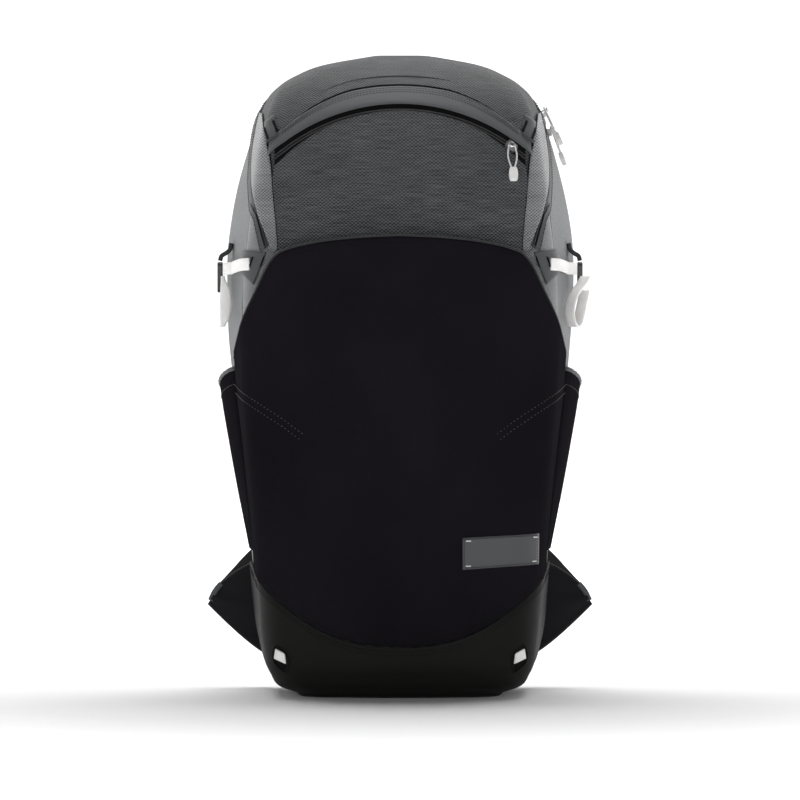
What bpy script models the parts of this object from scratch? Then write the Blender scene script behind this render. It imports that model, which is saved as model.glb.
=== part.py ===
"""A ski backpack, built as the separate pieces that it is sewn and clipped together from.

Sizes are in millimetres and become metres as each mesh is made. The pack's front faces -Y, the
wearer's back is at +Y, +X is the right of someone who looks at the front, and Z = 0 is the floor.
"""

import math

import bmesh
import bpy
import numpy as np
from mathutils import Matrix, Vector
from mathutils.bvhtree import BVHTree

MM = 0.001

# The bag's outer form
HEIGHT = 524.0
WALL = 3.0  # padded fabric of the main shell and the lid
BOOT_WALL = 2.2  # coated fabric round the base
GAP = 0.3  # between pieces that touch
BASE = BOOT_WALL + GAP  # the main shell's floor stands this high
BACK = 76.0  # plane of the back wall
BOOT_BACK = BACK + BASE + 2 * GAP  # what lies over the boot at the back starts here
CROWN = 6.0  # how far the front bulges at its middle

# Height, half-width at the front and at the back, y of the front and of the back, then the radius
# of the front and of the back corners.
STATIONS = (
    (BASE, 78, 88, -56, 54, 26, 26),
    (9, 93, 101, -70, 67, 28, 26),
    (20, 101, 109, -79, 73, 30, 26),
    (45, 107, 117, -85, BACK, 32, 24),
    (80, 110, 121.5, -88, BACK, 32, 24),
    (125, 112, 125.5, -89, BACK, 32, 24),
    (200, 118, 134, -89, BACK, 32, 24),
    (260, 123, 142, -87, BACK, 30, 24),
    (320, 124, 147, -84, BACK, 28, 24),
    (370, 120, 147, -80, BACK, 24, 24),
    (404, 116, 142, -76, BACK, 22, 24),
    (437, 111, 134, -69, BACK, 22, 26),
    (462, 107, 126, -60, BACK, 22, 28),
    (480, 103, 118, -50, 75, 22, 30),
    (495, 95, 109, -36, 72, 24, 32),
    (507, 80, 92, -18, 67, 24, 32),
    (517, 56, 65, 4, 60, 22, 26),
    (HEIGHT, 20, 24, 26, 46, 9, 10),
)
BETWEEN = (32, 62, 100, 160, 230, 290, 345, 388, 420, 450)  # further rings of the loft
CORNER_STEPS = 5
FRONT_STEPS = 6

# The lid: everything above a plane that rises from the front to the back
HINGE_Y, HINGE_Z = -80.0, 376.0  # where that plane meets the front
LID_SLOPE = math.radians(38)

# The arched pocket on the lid is a circle's arc in a plane that leans back
ARCH_TOP = Vector((0.0, -56.0, 480.0))
ARCH_RADIUS = 153.0
ARCH_DOWN = Vector((0.0, -0.30, -0.954)).normalized()
ARCH_CENTRE = ARCH_TOP + ARCH_DOWN * ARCH_RADIUS
ARCH_HALF = math.radians(44.5)
FLAP_WIDTH = 17.0

# The front stretch panel, which stands off the shell as a pocket for a helmet or jacket
PANEL_WALL = 2.4
POCKET_DEPTH = ((45, 0.0), (110, 1.0), (200, 6.0), (300, 12.5), (345, 13.0), (385, 11.0))
PANEL_SIDE_Y = -8.0  # how far back the panel wraps
PANEL_TOP, PANEL_CORNER = 373.5, (103.0, 356.0)
PANEL_SHOULDER = (149.0, 251.0)
SIDE_POCKET_Y, SIDE_POCKET_TOP, SIDE_POCKET_BOTTOM = (-5.0, 60.0), (267.0, 246.0), 117.0
SIDE_POCKET_DEPTH = 10.0
BOOT_CURVE = (43.0, 70.0, 127.0)  # height at the middle, rise, and half-width of the boot's edge

# Webbing
WHITE_WEB = 10.0
HARNESS_WEB = 20.0
WEB_THICK = 1.4
STRAP_Z = 348.0  # height of the white compression straps
BUCKLE_X, BUCKLE_THICK = 146.0, 4.0

POCKET_SLIDER_X = 93.5
POST_HEAD = 2.3  # height of the head of a slider's post over the slider
CORD = 1.4
MAIN_SLIDER_Y = (30.0, 50.0)

SIDES = (("left", -1.0), ("right", 1.0))


# ---------------------------------------------------------------- materials

COLOURS = {
    "ripstop": ((0.085, 0.090, 0.097), 0.75, 0.0),
    "side_fabric": ((0.130, 0.138, 0.145), 0.70, 0.0),
    "stretch": ((0.012, 0.012, 0.015), 0.80, 0.0),
    "coated": ((0.022, 0.022, 0.021), 0.55, 0.0),
    "trim": ((0.10, 0.105, 0.11), 0.50, 0.0),
    "white_webbing": ((0.80, 0.79, 0.78), 0.70, 0.0),
    "black_webbing": ((0.020, 0.020, 0.022), 0.75, 0.0),
    "black_plastic": ((0.025, 0.026, 0.027), 0.45, 0.0),
    "zip_tape": ((0.030, 0.032, 0.034), 0.60, 0.0),
    "zip_metal": ((0.45, 0.45, 0.46), 0.30, 1.0),
    "cord": ((0.62, 0.62, 0.61), 0.60, 0.0),
    "cap": ((0.75, 0.75, 0.74), 0.35, 0.0),
    "mesh_pad": ((0.030, 0.031, 0.034), 0.90, 0.0),
    "board": ((0.05, 0.05, 0.055), 0.50, 0.0),
    "stay": ((0.60, 0.61, 0.62), 0.35, 1.0),
    "label": ((0.070, 0.075, 0.080), 0.40, 0.0),
}


def material(name):
    """The named Principled material, made the first time it is asked for."""
    found = bpy.data.materials.get(name)
    if found:
        return found
    colour, roughness, metallic = COLOURS[name]
    made = bpy.data.materials.new(name)
    made.use_nodes = True
    shader = made.node_tree.nodes["Principled BSDF"]
    shader.inputs["Base Color"].default_value = (*colour, 1.0)
    shader.inputs["Roughness"].default_value = roughness
    shader.inputs["Metallic"].default_value = metallic
    return made


# ---------------------------------------------------------------- mesh tools


def add_mesh(name, points, faces, finish=None):
    """A new object from points in millimetres."""
    mesh = bpy.data.meshes.new(name)
    mesh.from_pydata([Vector(p) * MM for p in points], [], faces)
    mesh.update()
    obj = bpy.data.objects.new(name, mesh)
    bpy.context.scene.collection.objects.link(obj)
    if finish:
        mesh.materials.append(material(finish))
    return obj


def bake(obj):
    """Replaces the object's mesh with what its modifiers make of it."""
    graph = bpy.context.evaluated_depsgraph_get()
    obj.data = bpy.data.meshes.new_from_object(obj.evaluated_get(graph))
    obj.modifiers.clear()


def combine(obj, other, operation="DIFFERENCE"):
    """One Boolean with an object that is then removed."""
    step = obj.modifiers.new("combine", "BOOLEAN")
    step.operation = operation
    step.solver = "EXACT"
    step.object = other
    bake(obj)
    bpy.data.objects.remove(other)


def finish_shading(obj, finish, angle=35):
    """Gives the object its material, and smooth shading with sharp edges kept."""
    obj.data.materials.clear()
    obj.data.materials.append(material(finish))
    obj.data.shade_smooth()
    obj.data.set_sharp_from_angle(angle=math.radians(angle))
    return obj


def soften(obj, width, segments=2):
    """Rounds the sharp edges of a piece."""
    bevel = obj.modifiers.new("rounding", "BEVEL")
    bevel.width = width * MM
    bevel.segments = segments
    bevel.limit_method = "ANGLE"
    bevel.angle_limit = math.radians(40)
    bake(obj)
    return obj


def ring_faces(rings, size):
    """Quads up a stack of rings that turn anticlockwise seen from its top, and the two end caps."""
    faces = [tuple(reversed(range(size)))]
    for r in range(rings - 1):
        for j in range(size):
            k = (j + 1) % size
            faces.append((r * size + j, r * size + k, (r + 1) * size + k, (r + 1) * size + j))
    faces.append(tuple(range((rings - 1) * size, rings * size)))
    return faces


def stack(name, rings, finish=None):
    """A closed solid through rings of the same number of points."""
    points = [p for ring in rings for p in ring]
    return add_mesh(name, points, ring_faces(len(rings), len(rings[0])), finish)


def prism(name, outline, axis, low, high, finish=None):
    """A flat outline, pulled along an axis. It is given as (x, z) for Y and as (y, z) for X."""
    area = sum(a[0] * b[1] - b[0] * a[1] for a, b in zip(outline, outline[1:] + outline[:1]))
    turned = list(outline) if area > 0 else list(reversed(outline))
    if axis == "Y":  # an anticlockwise outline in (x, z) faces -Y
        rings = [[(a, y, b) for a, b in turned] for y in (high, low)]
    else:  # and one in (y, z) faces +X
        rings = [[(x, a, b) for a, b in turned] for x in (low, high)]
    return stack(name, rings, finish)


def box(name, low, high, finish=None):
    """A block between two corners."""
    outline = [(low[0], low[2]), (high[0], low[2]), (high[0], high[2]), (low[0], high[2])]
    return prism(name, outline, "Y", low[1], high[1], finish)


def smooth(table, at):
    """A table's row at any value of its first column, on a smooth curve through the rows."""
    rows = np.array(table, float)
    keys, values = rows[:, 0], rows[:, 1:]
    slopes = np.gradient(values, keys, axis=0)
    at = min(max(at, keys[0]), keys[-1])
    i = min(int(np.searchsorted(keys, at, side="right")) - 1, len(keys) - 2)
    span = keys[i + 1] - keys[i]
    t = (at - keys[i]) / span
    ease = t * t * (3 - 2 * t)
    start, end = slopes[i] * span, slopes[i + 1] * span
    tangent = start * t * (1 - t) ** 2 - end * t * t * (1 - t)
    return values[i] * (1 - ease) + values[i + 1] * ease + tangent


def curve_through(points, count):
    """Evenly numbered points on a smooth curve through some points in space."""
    table = [(i, *p) for i, p in enumerate(points)]
    return [Vector(smooth(table, t)) for t in np.linspace(0, len(points) - 1, count)]


def fillet(before, corner, after, radius, steps=CORNER_STEPS):
    """Points round one corner of a flat outline."""
    a, b = (before - corner).normalized(), (after - corner).normalized()
    half = a.angle(b) / 2
    start = corner + a * (radius / math.tan(half))
    centre = corner + (a + b).normalized() * (radius / math.sin(half))
    arm, turn = start - centre, math.pi - 2 * half
    return [
        centre
        + Vector((arm.x * math.cos(t) - arm.y * math.sin(t), arm.x * math.sin(t) + arm.y * math.cos(t)))
        for t in (turn * k / steps for k in range(steps + 1))
    ]


def rounded(outline, radius, steps=3):
    """A flat outline, anticlockwise, with every corner rounded."""
    turned = [Vector(p) for p in outline]
    made = []
    for i, corner in enumerate(turned):
        made += fillet(turned[i - 1], corner, turned[(i + 1) % len(turned)], radius, steps)
    return [tuple(p) for p in made]


def sweep(name, path, across, width, thick, finish):
    """A flat band along a path. Across is its width's direction and width its size, at each point or once."""
    path = [Vector(p) for p in path]
    across = [Vector(a) for a in across] if len(across) == len(path) else [Vector(across)] * len(path)
    widths = width if isinstance(width, (list, tuple, np.ndarray)) else [width] * len(path)
    thicks = thick if isinstance(thick, (list, tuple, np.ndarray)) else [thick] * len(path)
    rings = []
    for i, (at, wide, w, t) in enumerate(zip(path, across, widths, thicks)):
        along = (path[min(i + 1, len(path) - 1)] - path[max(i - 1, 0)]).normalized()
        wide = (wide - along * wide.dot(along)).normalized()
        up = along.cross(wide)
        corners = ((-1, -1), (1, -1), (1, 1), (-1, 1))
        rings.append([at + wide * (w / 2 * a) + up * (t / 2 * b) for a, b in corners])
    return stack(name, rings, finish)


# ---------------------------------------------------------------- the bag's skin


def section(z, grow, forward):
    """One horizontal outline of the bag, grown outwards, with its front moved forward."""
    half_front, half_back, y_front, y_back, r_front, r_back = smooth(STATIONS, z)
    front, back = y_front - grow - forward, y_back + grow
    corners = [
        Vector((-half_front - grow, front)),
        Vector((half_front + grow, front)),
        Vector((half_back + grow, back)),
        Vector((-half_back - grow, back)),
    ]
    radii = (r_front + grow, r_front + grow, r_back + grow, r_back + grow)
    arcs = [fillet(corners[i - 1], corners[i], corners[(i + 1) % 4], radii[i]) for i in range(4)]
    left, right = arcs[0][-1], arcs[1][0]
    crown = CROWN * min(1.0, (HEIGHT - z) / 60)
    crowned = [
        Vector((left.x + (right.x - left.x) * t, front - crown * (1 - (2 * t - 1) ** 2)))
        for t in (k / FRONT_STEPS for k in range(1, FRONT_STEPS))
    ]
    return [*arcs[0], *crowned, *arcs[1], *arcs[2], *arcs[3]]


def skin(name, grow, forward=lambda z: 0.0):
    """The bag's whole outer form as one solid, grown outwards by a thickness."""
    levels = sorted([row[0] for row in STATIONS] + list(BETWEEN))
    rings = []
    for z in levels:
        lift = 2 * (z - BASE) / (HEIGHT - BASE) - 1
        rings.append([(p.x, p.y, z + grow * lift) for p in section(z, grow, forward(z))])
    return stack(name, rings)


def layer(name, inner, outer, region, finish, forward=lambda z: 0.0):
    """The part of a layer over the bag's skin, between two thicknesses, that lies inside a region."""
    obj = skin(name, outer, forward)
    combine(obj, skin("inside", inner, forward))
    combine(obj, region, "INTERSECT")
    return finish_shading(obj, finish)


def surface(obj):
    """A function that gives the first point and normal of an object along a ray, in millimetres."""
    tree = BVHTree.FromPolygons(
        [v.co / MM for v in obj.data.vertices], [tuple(p.vertices) for p in obj.data.polygons]
    )

    def meets(start, direction):
        place, normal, _, _ = tree.ray_cast(Vector(start), Vector(direction))
        return place, normal

    return meets


def lid_plane(y):
    """Height of the plane that parts the lid from the bag."""
    return HINGE_Z + (y - HINGE_Y) * math.tan(LID_SLOPE)


def above_lid_plane(name, low, high, y_from=-200.0, y_to=200.0):
    """The space between two planes at these heights over the lid's plane."""
    outline = [
        (y_from, lid_plane(y_from) + low),
        (y_to, lid_plane(y_to) + low),
        (y_to, lid_plane(y_to) + high),
        (y_from, lid_plane(y_from) + high),
    ]
    return prism(name, outline, "X", -220, 220)


def boot_edge(x):
    """Height of the boot's curved upper edge."""
    middle, rise, half = BOOT_CURVE
    return middle + rise * min(1.0, abs(x) / half) ** 2.4


def arch(radius, angle):
    """A point on the arch's plane, by its radius and its angle from the top."""
    return ARCH_CENTRE - ARCH_DOWN * (radius * math.cos(angle)) + Vector((radius * math.sin(angle), 0, 0))


def arch_band(low, high, end, steps=14):
    """The front outline of a band of the arch, between two radii, out to x = end on both sides."""
    across = [2 * k / steps - 1 for k in range(steps + 1)]
    outer = [arch(high, math.asin(end / high) * t) for t in across]
    inner = [arch(low, -math.asin(end / low) * t) for t in across]
    return [(p.x, p.z) for p in outer + inner]


# ---------------------------------------------------------------- the bag


def build_shells():
    """The main shell and the lid, parted by the lid's plane, and the U-shaped zip between them."""
    for name, low, high, finish in (
        ("main_shell", -600, -0.5, "side_fabric"),
        ("lid_shell", 0.5, 300, "ripstop"),
    ):
        obj = skin(name, 0)
        combine(obj, skin("inside", -WALL))
        combine(obj, above_lid_plane("part", low, high), "INTERSECT")
        finish_shading(obj, finish)
    for name, low, high in (("main_zip_tape_lower", -8, -0.7), ("main_zip_tape_upper", 0.7, 8)):
        layer(name, GAP, GAP + 1.1, above_lid_plane("band", low, high, y_from=-71), "zip_tape")


def build_boot():
    """The coated base, up to its curved edge, and the two white gear tabs on it."""
    steps = [-150 + 15 * k for k in range(21)]
    outline = [(-150, -20), (150, -20)] + [(x, boot_edge(x) - GAP) for x in reversed(steps)]
    layer("base_boot", GAP, BASE, prism("below", outline, "Y", -200, 200), "coated")
    tab = [(-98, 39.5), (-99, 32.5), (-89.5, 29.5), (-90.5, 35.5)]
    for side, sign in SIDES:
        region = prism("tab", [(-sign * x, z) for x, z in tab], "Y", -200, 0)
        layer(f"gear_tab_{side}", BASE + GAP, BASE + GAP + WEB_THICK, region, "white_webbing")


def pocket_depth(z):
    """How far the stretch panel stands in front of the shell."""
    return float(smooth(POCKET_DEPTH, z)[0])


def build_front_panel():
    """The black stretch panel over the front, its label, and the stretch pockets on both sides."""
    steps = [-150 + 15 * k for k in range(21)]
    low = [(x, boot_edge(x) + GAP) for x in steps]
    corner, shoulder = PANEL_CORNER, PANEL_SHOULDER
    top = [(corner[0] * t, PANEL_TOP - (PANEL_TOP - corner[1]) * t * t) for t in (1, 0.75, 0.5, 0.25, 0)]
    top += [(-x, z) for x, z in reversed(top[:-1])]
    outline = low + [(170, 200), (170, 240), shoulder]
    outline += top + [(-shoulder[0], shoulder[1]), (-170, 240), (-170, 200)]
    region = prism("cover", outline, "Y", -200, PANEL_SIDE_Y)
    layer("front_stretch_panel", GAP, GAP + PANEL_WALL, region, "stretch", pocket_depth)
    label = prism("label", [(50, 105), (109, 109), (109, 134), (50, 130.5)], "Y", -200, 0)
    out = GAP + PANEL_WALL + GAP
    layer("label_patch", out, out + 1.0, label, "label", pocket_depth)


def build_side_pocket(side, sign, side_surface):
    """A stretch pocket on one side: sewn down along its sides and its bottom, and open at the top."""
    columns, rows = 10, 8
    inner, outer = [], []
    for j in range(rows + 1):
        up = j / rows
        for i in range(columns + 1):
            t = i / columns
            y = SIDE_POCKET_Y[0] + (SIDE_POCKET_Y[1] - SIDE_POCKET_Y[0]) * t
            top = SIDE_POCKET_TOP[0] + (SIDE_POCKET_TOP[1] - SIDE_POCKET_TOP[0]) * t
            z = SIDE_POCKET_BOTTOM + (top - SIDE_POCKET_BOTTOM) * up
            place, _ = side_surface((sign * 300, y, z), (-sign, 0, 0))
            bulge = SIDE_POCKET_DEPTH * math.sin(math.pi * t) ** 0.6 * math.sin(math.pi / 2 * up) ** 0.8
            inner.append((place.x + sign * (0.7 + bulge), y, z))
            outer.append((place.x + sign * (2.3 + bulge), y, z))
    wide = columns + 1
    size = wide * (rows + 1)
    faces = []
    for j in range(rows):
        for i in range(columns):
            a = j * wide + i
            b, c, d = a + 1, a + 1 + wide, a + wide
            faces += [(size + a, size + b, size + c, size + d), (d, c, b, a)]
    rim = [j for j in range(columns)] + [columns + wide * j for j in range(rows)]
    rim += [size - 1 - j for j in range(columns)] + [wide * (rows - j) for j in range(rows)]
    for a, b in zip(rim, rim[1:] + rim[:1]):
        faces.append((a, b, size + b, size + a))
    if sign < 0:
        faces = [tuple(reversed(f)) for f in faces]
    finish_shading(add_mesh(f"side_pocket_{side}", inner + outer, faces), "stretch")


def build_lid_pocket():
    """What is sewn on the lid: the arched pocket, its zip, the flap that hides it and the lash patches."""
    edge = [arch(ARCH_RADIUS - 11, ARCH_HALF * t) for t in np.linspace(1, -1, 15)]
    outline = [(-100, 380.5), (100, 380.5)] + [(p.x, p.z) for p in edge]
    layer("lid_pocket_panel", GAP, GAP + 1.6, prism("front", outline, "Y", -200, 0), "ripstop")
    for name, low, high, end, inner, outer, finish in (
        ("pocket_zip_tape", -3.4, 7, 95, GAP, GAP + 0.8, "zip_tape"),
        ("lid_arch_flap", 0, FLAP_WIDTH, 106, GAP + 1.9, GAP + 4.9, "trim"),
    ):
        outline = arch_band(ARCH_RADIUS + low, ARCH_RADIUS + high, end)
        region = prism("band", outline, "Y", -200, 20)
        layer(name, inner, outer, region, finish)
    patch = [(-110.5, 466), (-102, 474), (-97.5, 457), (-105.5, 449)]
    for side, sign in SIDES:
        region = prism("patch", [(-sign * x, z) for x, z in patch], "Y", -200, 20)
        layer(f"lash_patch_{side}", GAP, GAP + 1.5, region, "trim")


def build_compression(side, sign, side_surface):
    """The white compression strap of one side: its anchor patch, strap, hook buckle, keeper and tail."""

    def out(outline):
        return [(-sign * x, z) for x, z in outline]

    patch = layer(
        f"side_patch_{side}",
        GAP,
        GAP + 1.5,
        prism("patch", out([(-128, 362), (-109, 360), (-118, 334), (-129, 344)]), "Y", -200, 0),
        "trim",
    )
    for x in (-123.5, -113.5):
        slot = out([(x - 0.9, 343), (x + 0.9, 343), (x + 4.1, 353.4), (x + 2.3, 353.4)])
        combine(patch, prism("slot", slot, "Y", -200, 0))
    finish_shading(patch, "trim")
    path = []
    for turn in (-42, -32, -20, -8, 4, 16, 26, 33, 39):
        angle = math.radians(turn)
        place, normal = side_surface((sign * 85, -40, STRAP_Z), (sign * math.cos(angle), math.sin(angle), 0))
        path.append(place + normal * (GAP + 3.8))
    path += [Vector((sign * x, y, STRAP_Z)) for x, y in ((138.5, -9), (144.2, 1), (144.7, 8.2))]
    strap = sweep(f"compression_strap_{side}", path, (0, 0, 1), WHITE_WEB, WEB_THICK, "white_webbing")
    finish_shading(strap, "white_webbing", 50)

    frame = rounded([(6.5, 328.5), (25, 328.5), (25, 353.5), (6.5, 353.5)], 3)
    ends = sorted((sign * BUCKLE_X, sign * (BUCKLE_X + BUCKLE_THICK)))
    buckle = prism(f"compression_buckle_{side}", frame, "X", *ends)
    for y in (10.0, 17.5):
        combine(buckle, box("slot", (-400, y, 334.5), (400, y + 4.0, 348.5)))
    finish_shading(soften(buckle, 0.7, 1), "black_plastic")
    place, _ = side_surface((sign * 300, 15.5, 362), (-sign, 0, 0))
    middle = BUCKLE_X + BUCKLE_THICK / 2
    reach = [
        (abs(place.x) + 2.0, 366),
        (abs(place.x) + 2.8, 361.5),
        (middle - 4.5, 359.5),
        (middle - 0.8, 357.5),
        (middle, 354.2),
    ]
    path = curve_through([(sign * x, 15.5, z) for x, z in reach], 11)
    hook = sweep(f"buckle_keeper_{side}", path, (0, 1, 0), 10, 1.6, "black_webbing")
    finish_shading(hook, "black_webbing", 50)

    # the left tail lies flat against the bag, and the right one stands off it
    lean, foot_x = ((0.2, 0.98), 141.5) if side == "left" else ((0.5, 0.866), 138.2)
    across = Vector((sign * lean[1], -lean[0], 0))
    along = Vector((sign * lean[0], lean[1], 0))
    foot = Vector((sign * foot_x, -25.5, 0))
    tail = [
        (27.5, 341.5),
        (20, 335),
        (8.5, 327),
        (1, 316),
        (2.5, 305.5),
        (8.5, 300.8),
        (14.5, 304),
        (18.5, 312),
        (22.5, 321),
        (26.5, 330),
    ]
    path = curve_through([foot + along * h + Vector((0, 0, z)) for h, z in tail], 25)
    obj = sweep(f"strap_tail_{side}", path, across, WHITE_WEB * 0.9, WEB_THICK, "white_webbing")
    finish_shading(obj, "white_webbing", 50)


# ---------------------------------------------------------------- zips


def oriented(obj, wide, along, up, centre):
    """Turns an object that was made at the origin and puts it in its place."""
    frame = Matrix((wide, along, up)).transposed()
    for v in obj.data.vertices:
        v.co = (frame @ (v.co / MM) + Vector(centre)) * MM


def disc(radius, height, steps=14):
    """A ring of points round the Z axis."""
    turns = [2 * math.pi * k / steps for k in range(steps)]
    return [(radius * math.cos(t), radius * math.sin(t), height) for t in turns]


def slider_block(name, centre, along, normal, size):
    """A zip slider that stands on a surface, with a headed post that its puller's cord goes round."""
    width, length, thick = size
    normal = Vector(normal).normalized()
    wide = Vector(along).cross(normal).normalized()
    a, b = width / 2, length / 2
    outline = rounded([(-a, -b), (a, -b), (a, b), (-a, b)], 2.2)
    body = stack(name, [[Vector((a, b, h)) for a, b in outline] for h in (0, thick)])
    head = thick + POST_HEAD
    steps = ((1.1, thick - 0.5), (1.1, head), (2.3, head + 0.1), (2.3, head + 0.9), (1.6, head + 1.2))
    post = stack("post", [disc(*step) for step in steps])
    combine(body, post, "UNION")
    oriented(body, wide, normal.cross(wide), normal, centre)
    return finish_shading(body, "zip_metal")


def tube(name, points, diameter, finish, count=40):
    """A cord along a smooth curve through its route's points."""
    data = bpy.data.curves.new(name, "CURVE")
    data.dimensions = "3D"
    data.bevel_depth = diameter / 2 * MM
    data.bevel_resolution = 2
    data.use_fill_caps = True
    line = data.splines.new("POLY")
    path = curve_through(points, count)
    line.points.add(count - 1)
    for point, place in zip(line.points, path):
        point.co = (*(place * MM), 1.0)
    obj = bpy.data.objects.new(name, data)
    bpy.context.scene.collection.objects.link(obj)
    data.materials.append(material(finish))
    return obj


def puller(name, eye, down, normal, length=20.0):
    """A puller: a cord looped round a slider's post, with both ends held in a moulded cap."""
    eye, down = Vector(eye), Vector(down).normalized()
    side = Vector(normal).cross(down).normalized()
    half = [(0, -2.2), (1.6, -1.5), (2.4, 0.3), (3.2, 5), (3.6, 10), (2.8, 15), (1.3, length)]
    route = [eye - side * a + down * b for a, b in reversed(half[1:])]
    route += [eye + side * a + down * b for a, b in half]
    tube(f"{name}_cord", route, CORD, "cord")
    top = eye + down * (length + 0.4)
    sizes = ((0, 5.0, 3.0), (2.0, 6.4, 3.6), (6.0, 7.4, 3.8), (10.0, 6.6, 3.6), (11.5, 5.0, 2.6))
    path = [top + down * s[0] for s in sizes]
    cap = sweep(f"{name}_cap", path, side, [s[1] for s in sizes], [s[2] for s in sizes], "cap")
    finish_shading(cap, "cap")


def hang_on(form, start, towards, out, drop):
    """The point beside a surface, a distance below another point."""
    place, normal = form((start[0], start[1], start[2] - drop), towards)
    return place + normal * out


def build_zips(form):
    """The pocket's slider on the lid's arch, and the two sliders of the main zip, with their pullers."""
    turn = math.asin(POCKET_SLIDER_X / ARCH_RADIUS)
    spot = arch(ARCH_RADIUS - 6.5, turn)
    place, normal = form((spot.x, -300, spot.z), (0, 1, 0))
    centre = place + normal * (GAP + 3.0)
    along = arch(ARCH_RADIUS, turn + 0.05) - arch(ARCH_RADIUS, turn - 0.05)
    size = (7.0, 10.0, 2.6)
    slider_block("pocket_zip_slider", centre, along, normal, size)
    eye = centre + normal * (size[2] + POST_HEAD / 2)
    below = hang_on(form, (eye.x, -300, eye.z), (0, 1, 0), 13.0, 32)
    puller("pocket_puller", eye, below - eye, normal)
    for name, y in (("main_zip_front", MAIN_SLIDER_Y[0]), ("main_zip_rear", MAIN_SLIDER_Y[1])):
        place, normal = form((300, y, lid_plane(y)), (-1, 0, 0))
        ahead, _ = form((300, y - 6, lid_plane(y - 6)), (-1, 0, 0))
        behind, _ = form((300, y + 6, lid_plane(y + 6)), (-1, 0, 0))
        centre = place + normal * (GAP + 2.0)
        size = (7.5, 11.0, 2.6)
        slider_block(f"{name}_slider", centre, ahead - behind, normal, size)
        eye = centre + normal * (size[2] + POST_HEAD / 2)
        below = hang_on(form, (300, eye.y, eye.z), (-1, 0, 0), 8.5, 32)
        puller(f"{name}_puller", eye, below - eye, normal)


# ---------------------------------------------------------------- inside and back


def build_inside():
    """What stiffens and divides the bag: the frame sheet, its stay and the laptop sleeve."""
    inner = BACK - WALL
    sheet = rounded([(-84, 42), (84, 42), (84, 440), (-84, 440)], 14)
    finish_shading(prism("frame_sheet", sheet, "Y", inner - 2.0, inner - 0.5), "board")
    stay = rounded([(-6, 48), (6, 48), (6, 430), (-6, 430)], 3)
    finish_shading(prism("frame_stay", stay, "Y", inner - 5.4, inner - 2.4), "stay")
    back, front = inner - 6.0, inner - 21.0
    outline = rounded([(-95, 24), (95, 24), (95, 335), (-95, 335)], 8)
    sleeve = prism("laptop_sleeve", outline, "Y", front, back)
    combine(sleeve, box("slot", (-90, front + 3.5, 28), (90, back - 3.5, 400)))
    finish_shading(sleeve, "mesh_pad")


def build_back():
    """The foam pads and the yoke on the back, and the carrying handle."""
    for side, sign in SIDES:
        outline = [(sign * x, z) for x, z in ((14, 132), (84, 132), (84, 432), (14, 432))]
        pad = prism(f"back_pad_{side}", rounded(outline[:: int(sign)], 14, 4), "Y", BACK + GAP, BACK + 12)
        finish_shading(soften(pad, 3.5), "mesh_pad")
    lumbar = rounded([(-86, 36), (86, 36), (86, 122), (-86, 122)], 16, 4)
    finish_shading(soften(prism("lumbar_pad", lumbar, "Y", BOOT_BACK, BACK + 16), 4), "mesh_pad")
    yoke = rounded([(-78, 440), (78, 440), (66, 468), (-66, 468)], 8)
    finish_shading(soften(prism("shoulder_yoke", yoke, "Y", BACK + GAP, BACK + 9), 2), "black_webbing")
    loop = [(-47, 78.4, 478), (-38, 79.4, 478.5), (-30, 86, 479), (-17, 99, 480), (0, 103, 480.5)]
    loop += [(-x, y, z) for x, y, z in reversed(loop[:-1])]
    path = curve_through(loop, 25)
    handle = sweep("haul_handle", path, (0, 0, 1), 16, 2.6, "black_webbing")
    finish_shading(handle, "black_webbing", 50)


STRAP_PATH = (
    (46, 91.5, 450),
    (46.5, 104, 436),
    (48, 111, 415),
    (52, 112, 380),
    (57, 112, 340),
    (67, 110, 290),
    (80, 106, 240),
    (91, 101, 195),
    (97, 98, 163),
)
STRAP_WIDTHS = (64, 62, 60, 60, 58, 54, 48, 40, 32)
STRAP_THICK = (9, 11, 12, 12, 12, 11, 10, 9, 7)
RAIL_X, RAIL_Y = 49.0, 121.0
RAIL_Z = (352.0, 422.0)
STERNUM_Z = 388.0
LOCK_TOP = Vector((98.0, 98.5, 157.0))


def strap_ring(at, along, width, thick):
    """A rounded section of a padded strap, flat towards the wearer."""
    wide = Vector((1, 0, 0))
    wide = (wide - along * wide.dot(along)).normalized()
    up = along.cross(wide)
    turns = [math.radians(a) for a in (0, 35, 70, 110, 145, 180, 215, 250, 290, 325)]
    return [
        at + wide * (width / 2 * math.copysign(abs(math.cos(t)) ** 0.5, math.cos(t)))
        + up * (thick / 2 * math.copysign(abs(math.sin(t)) ** 0.7, math.sin(t)))
        for t in turns
    ]


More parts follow.
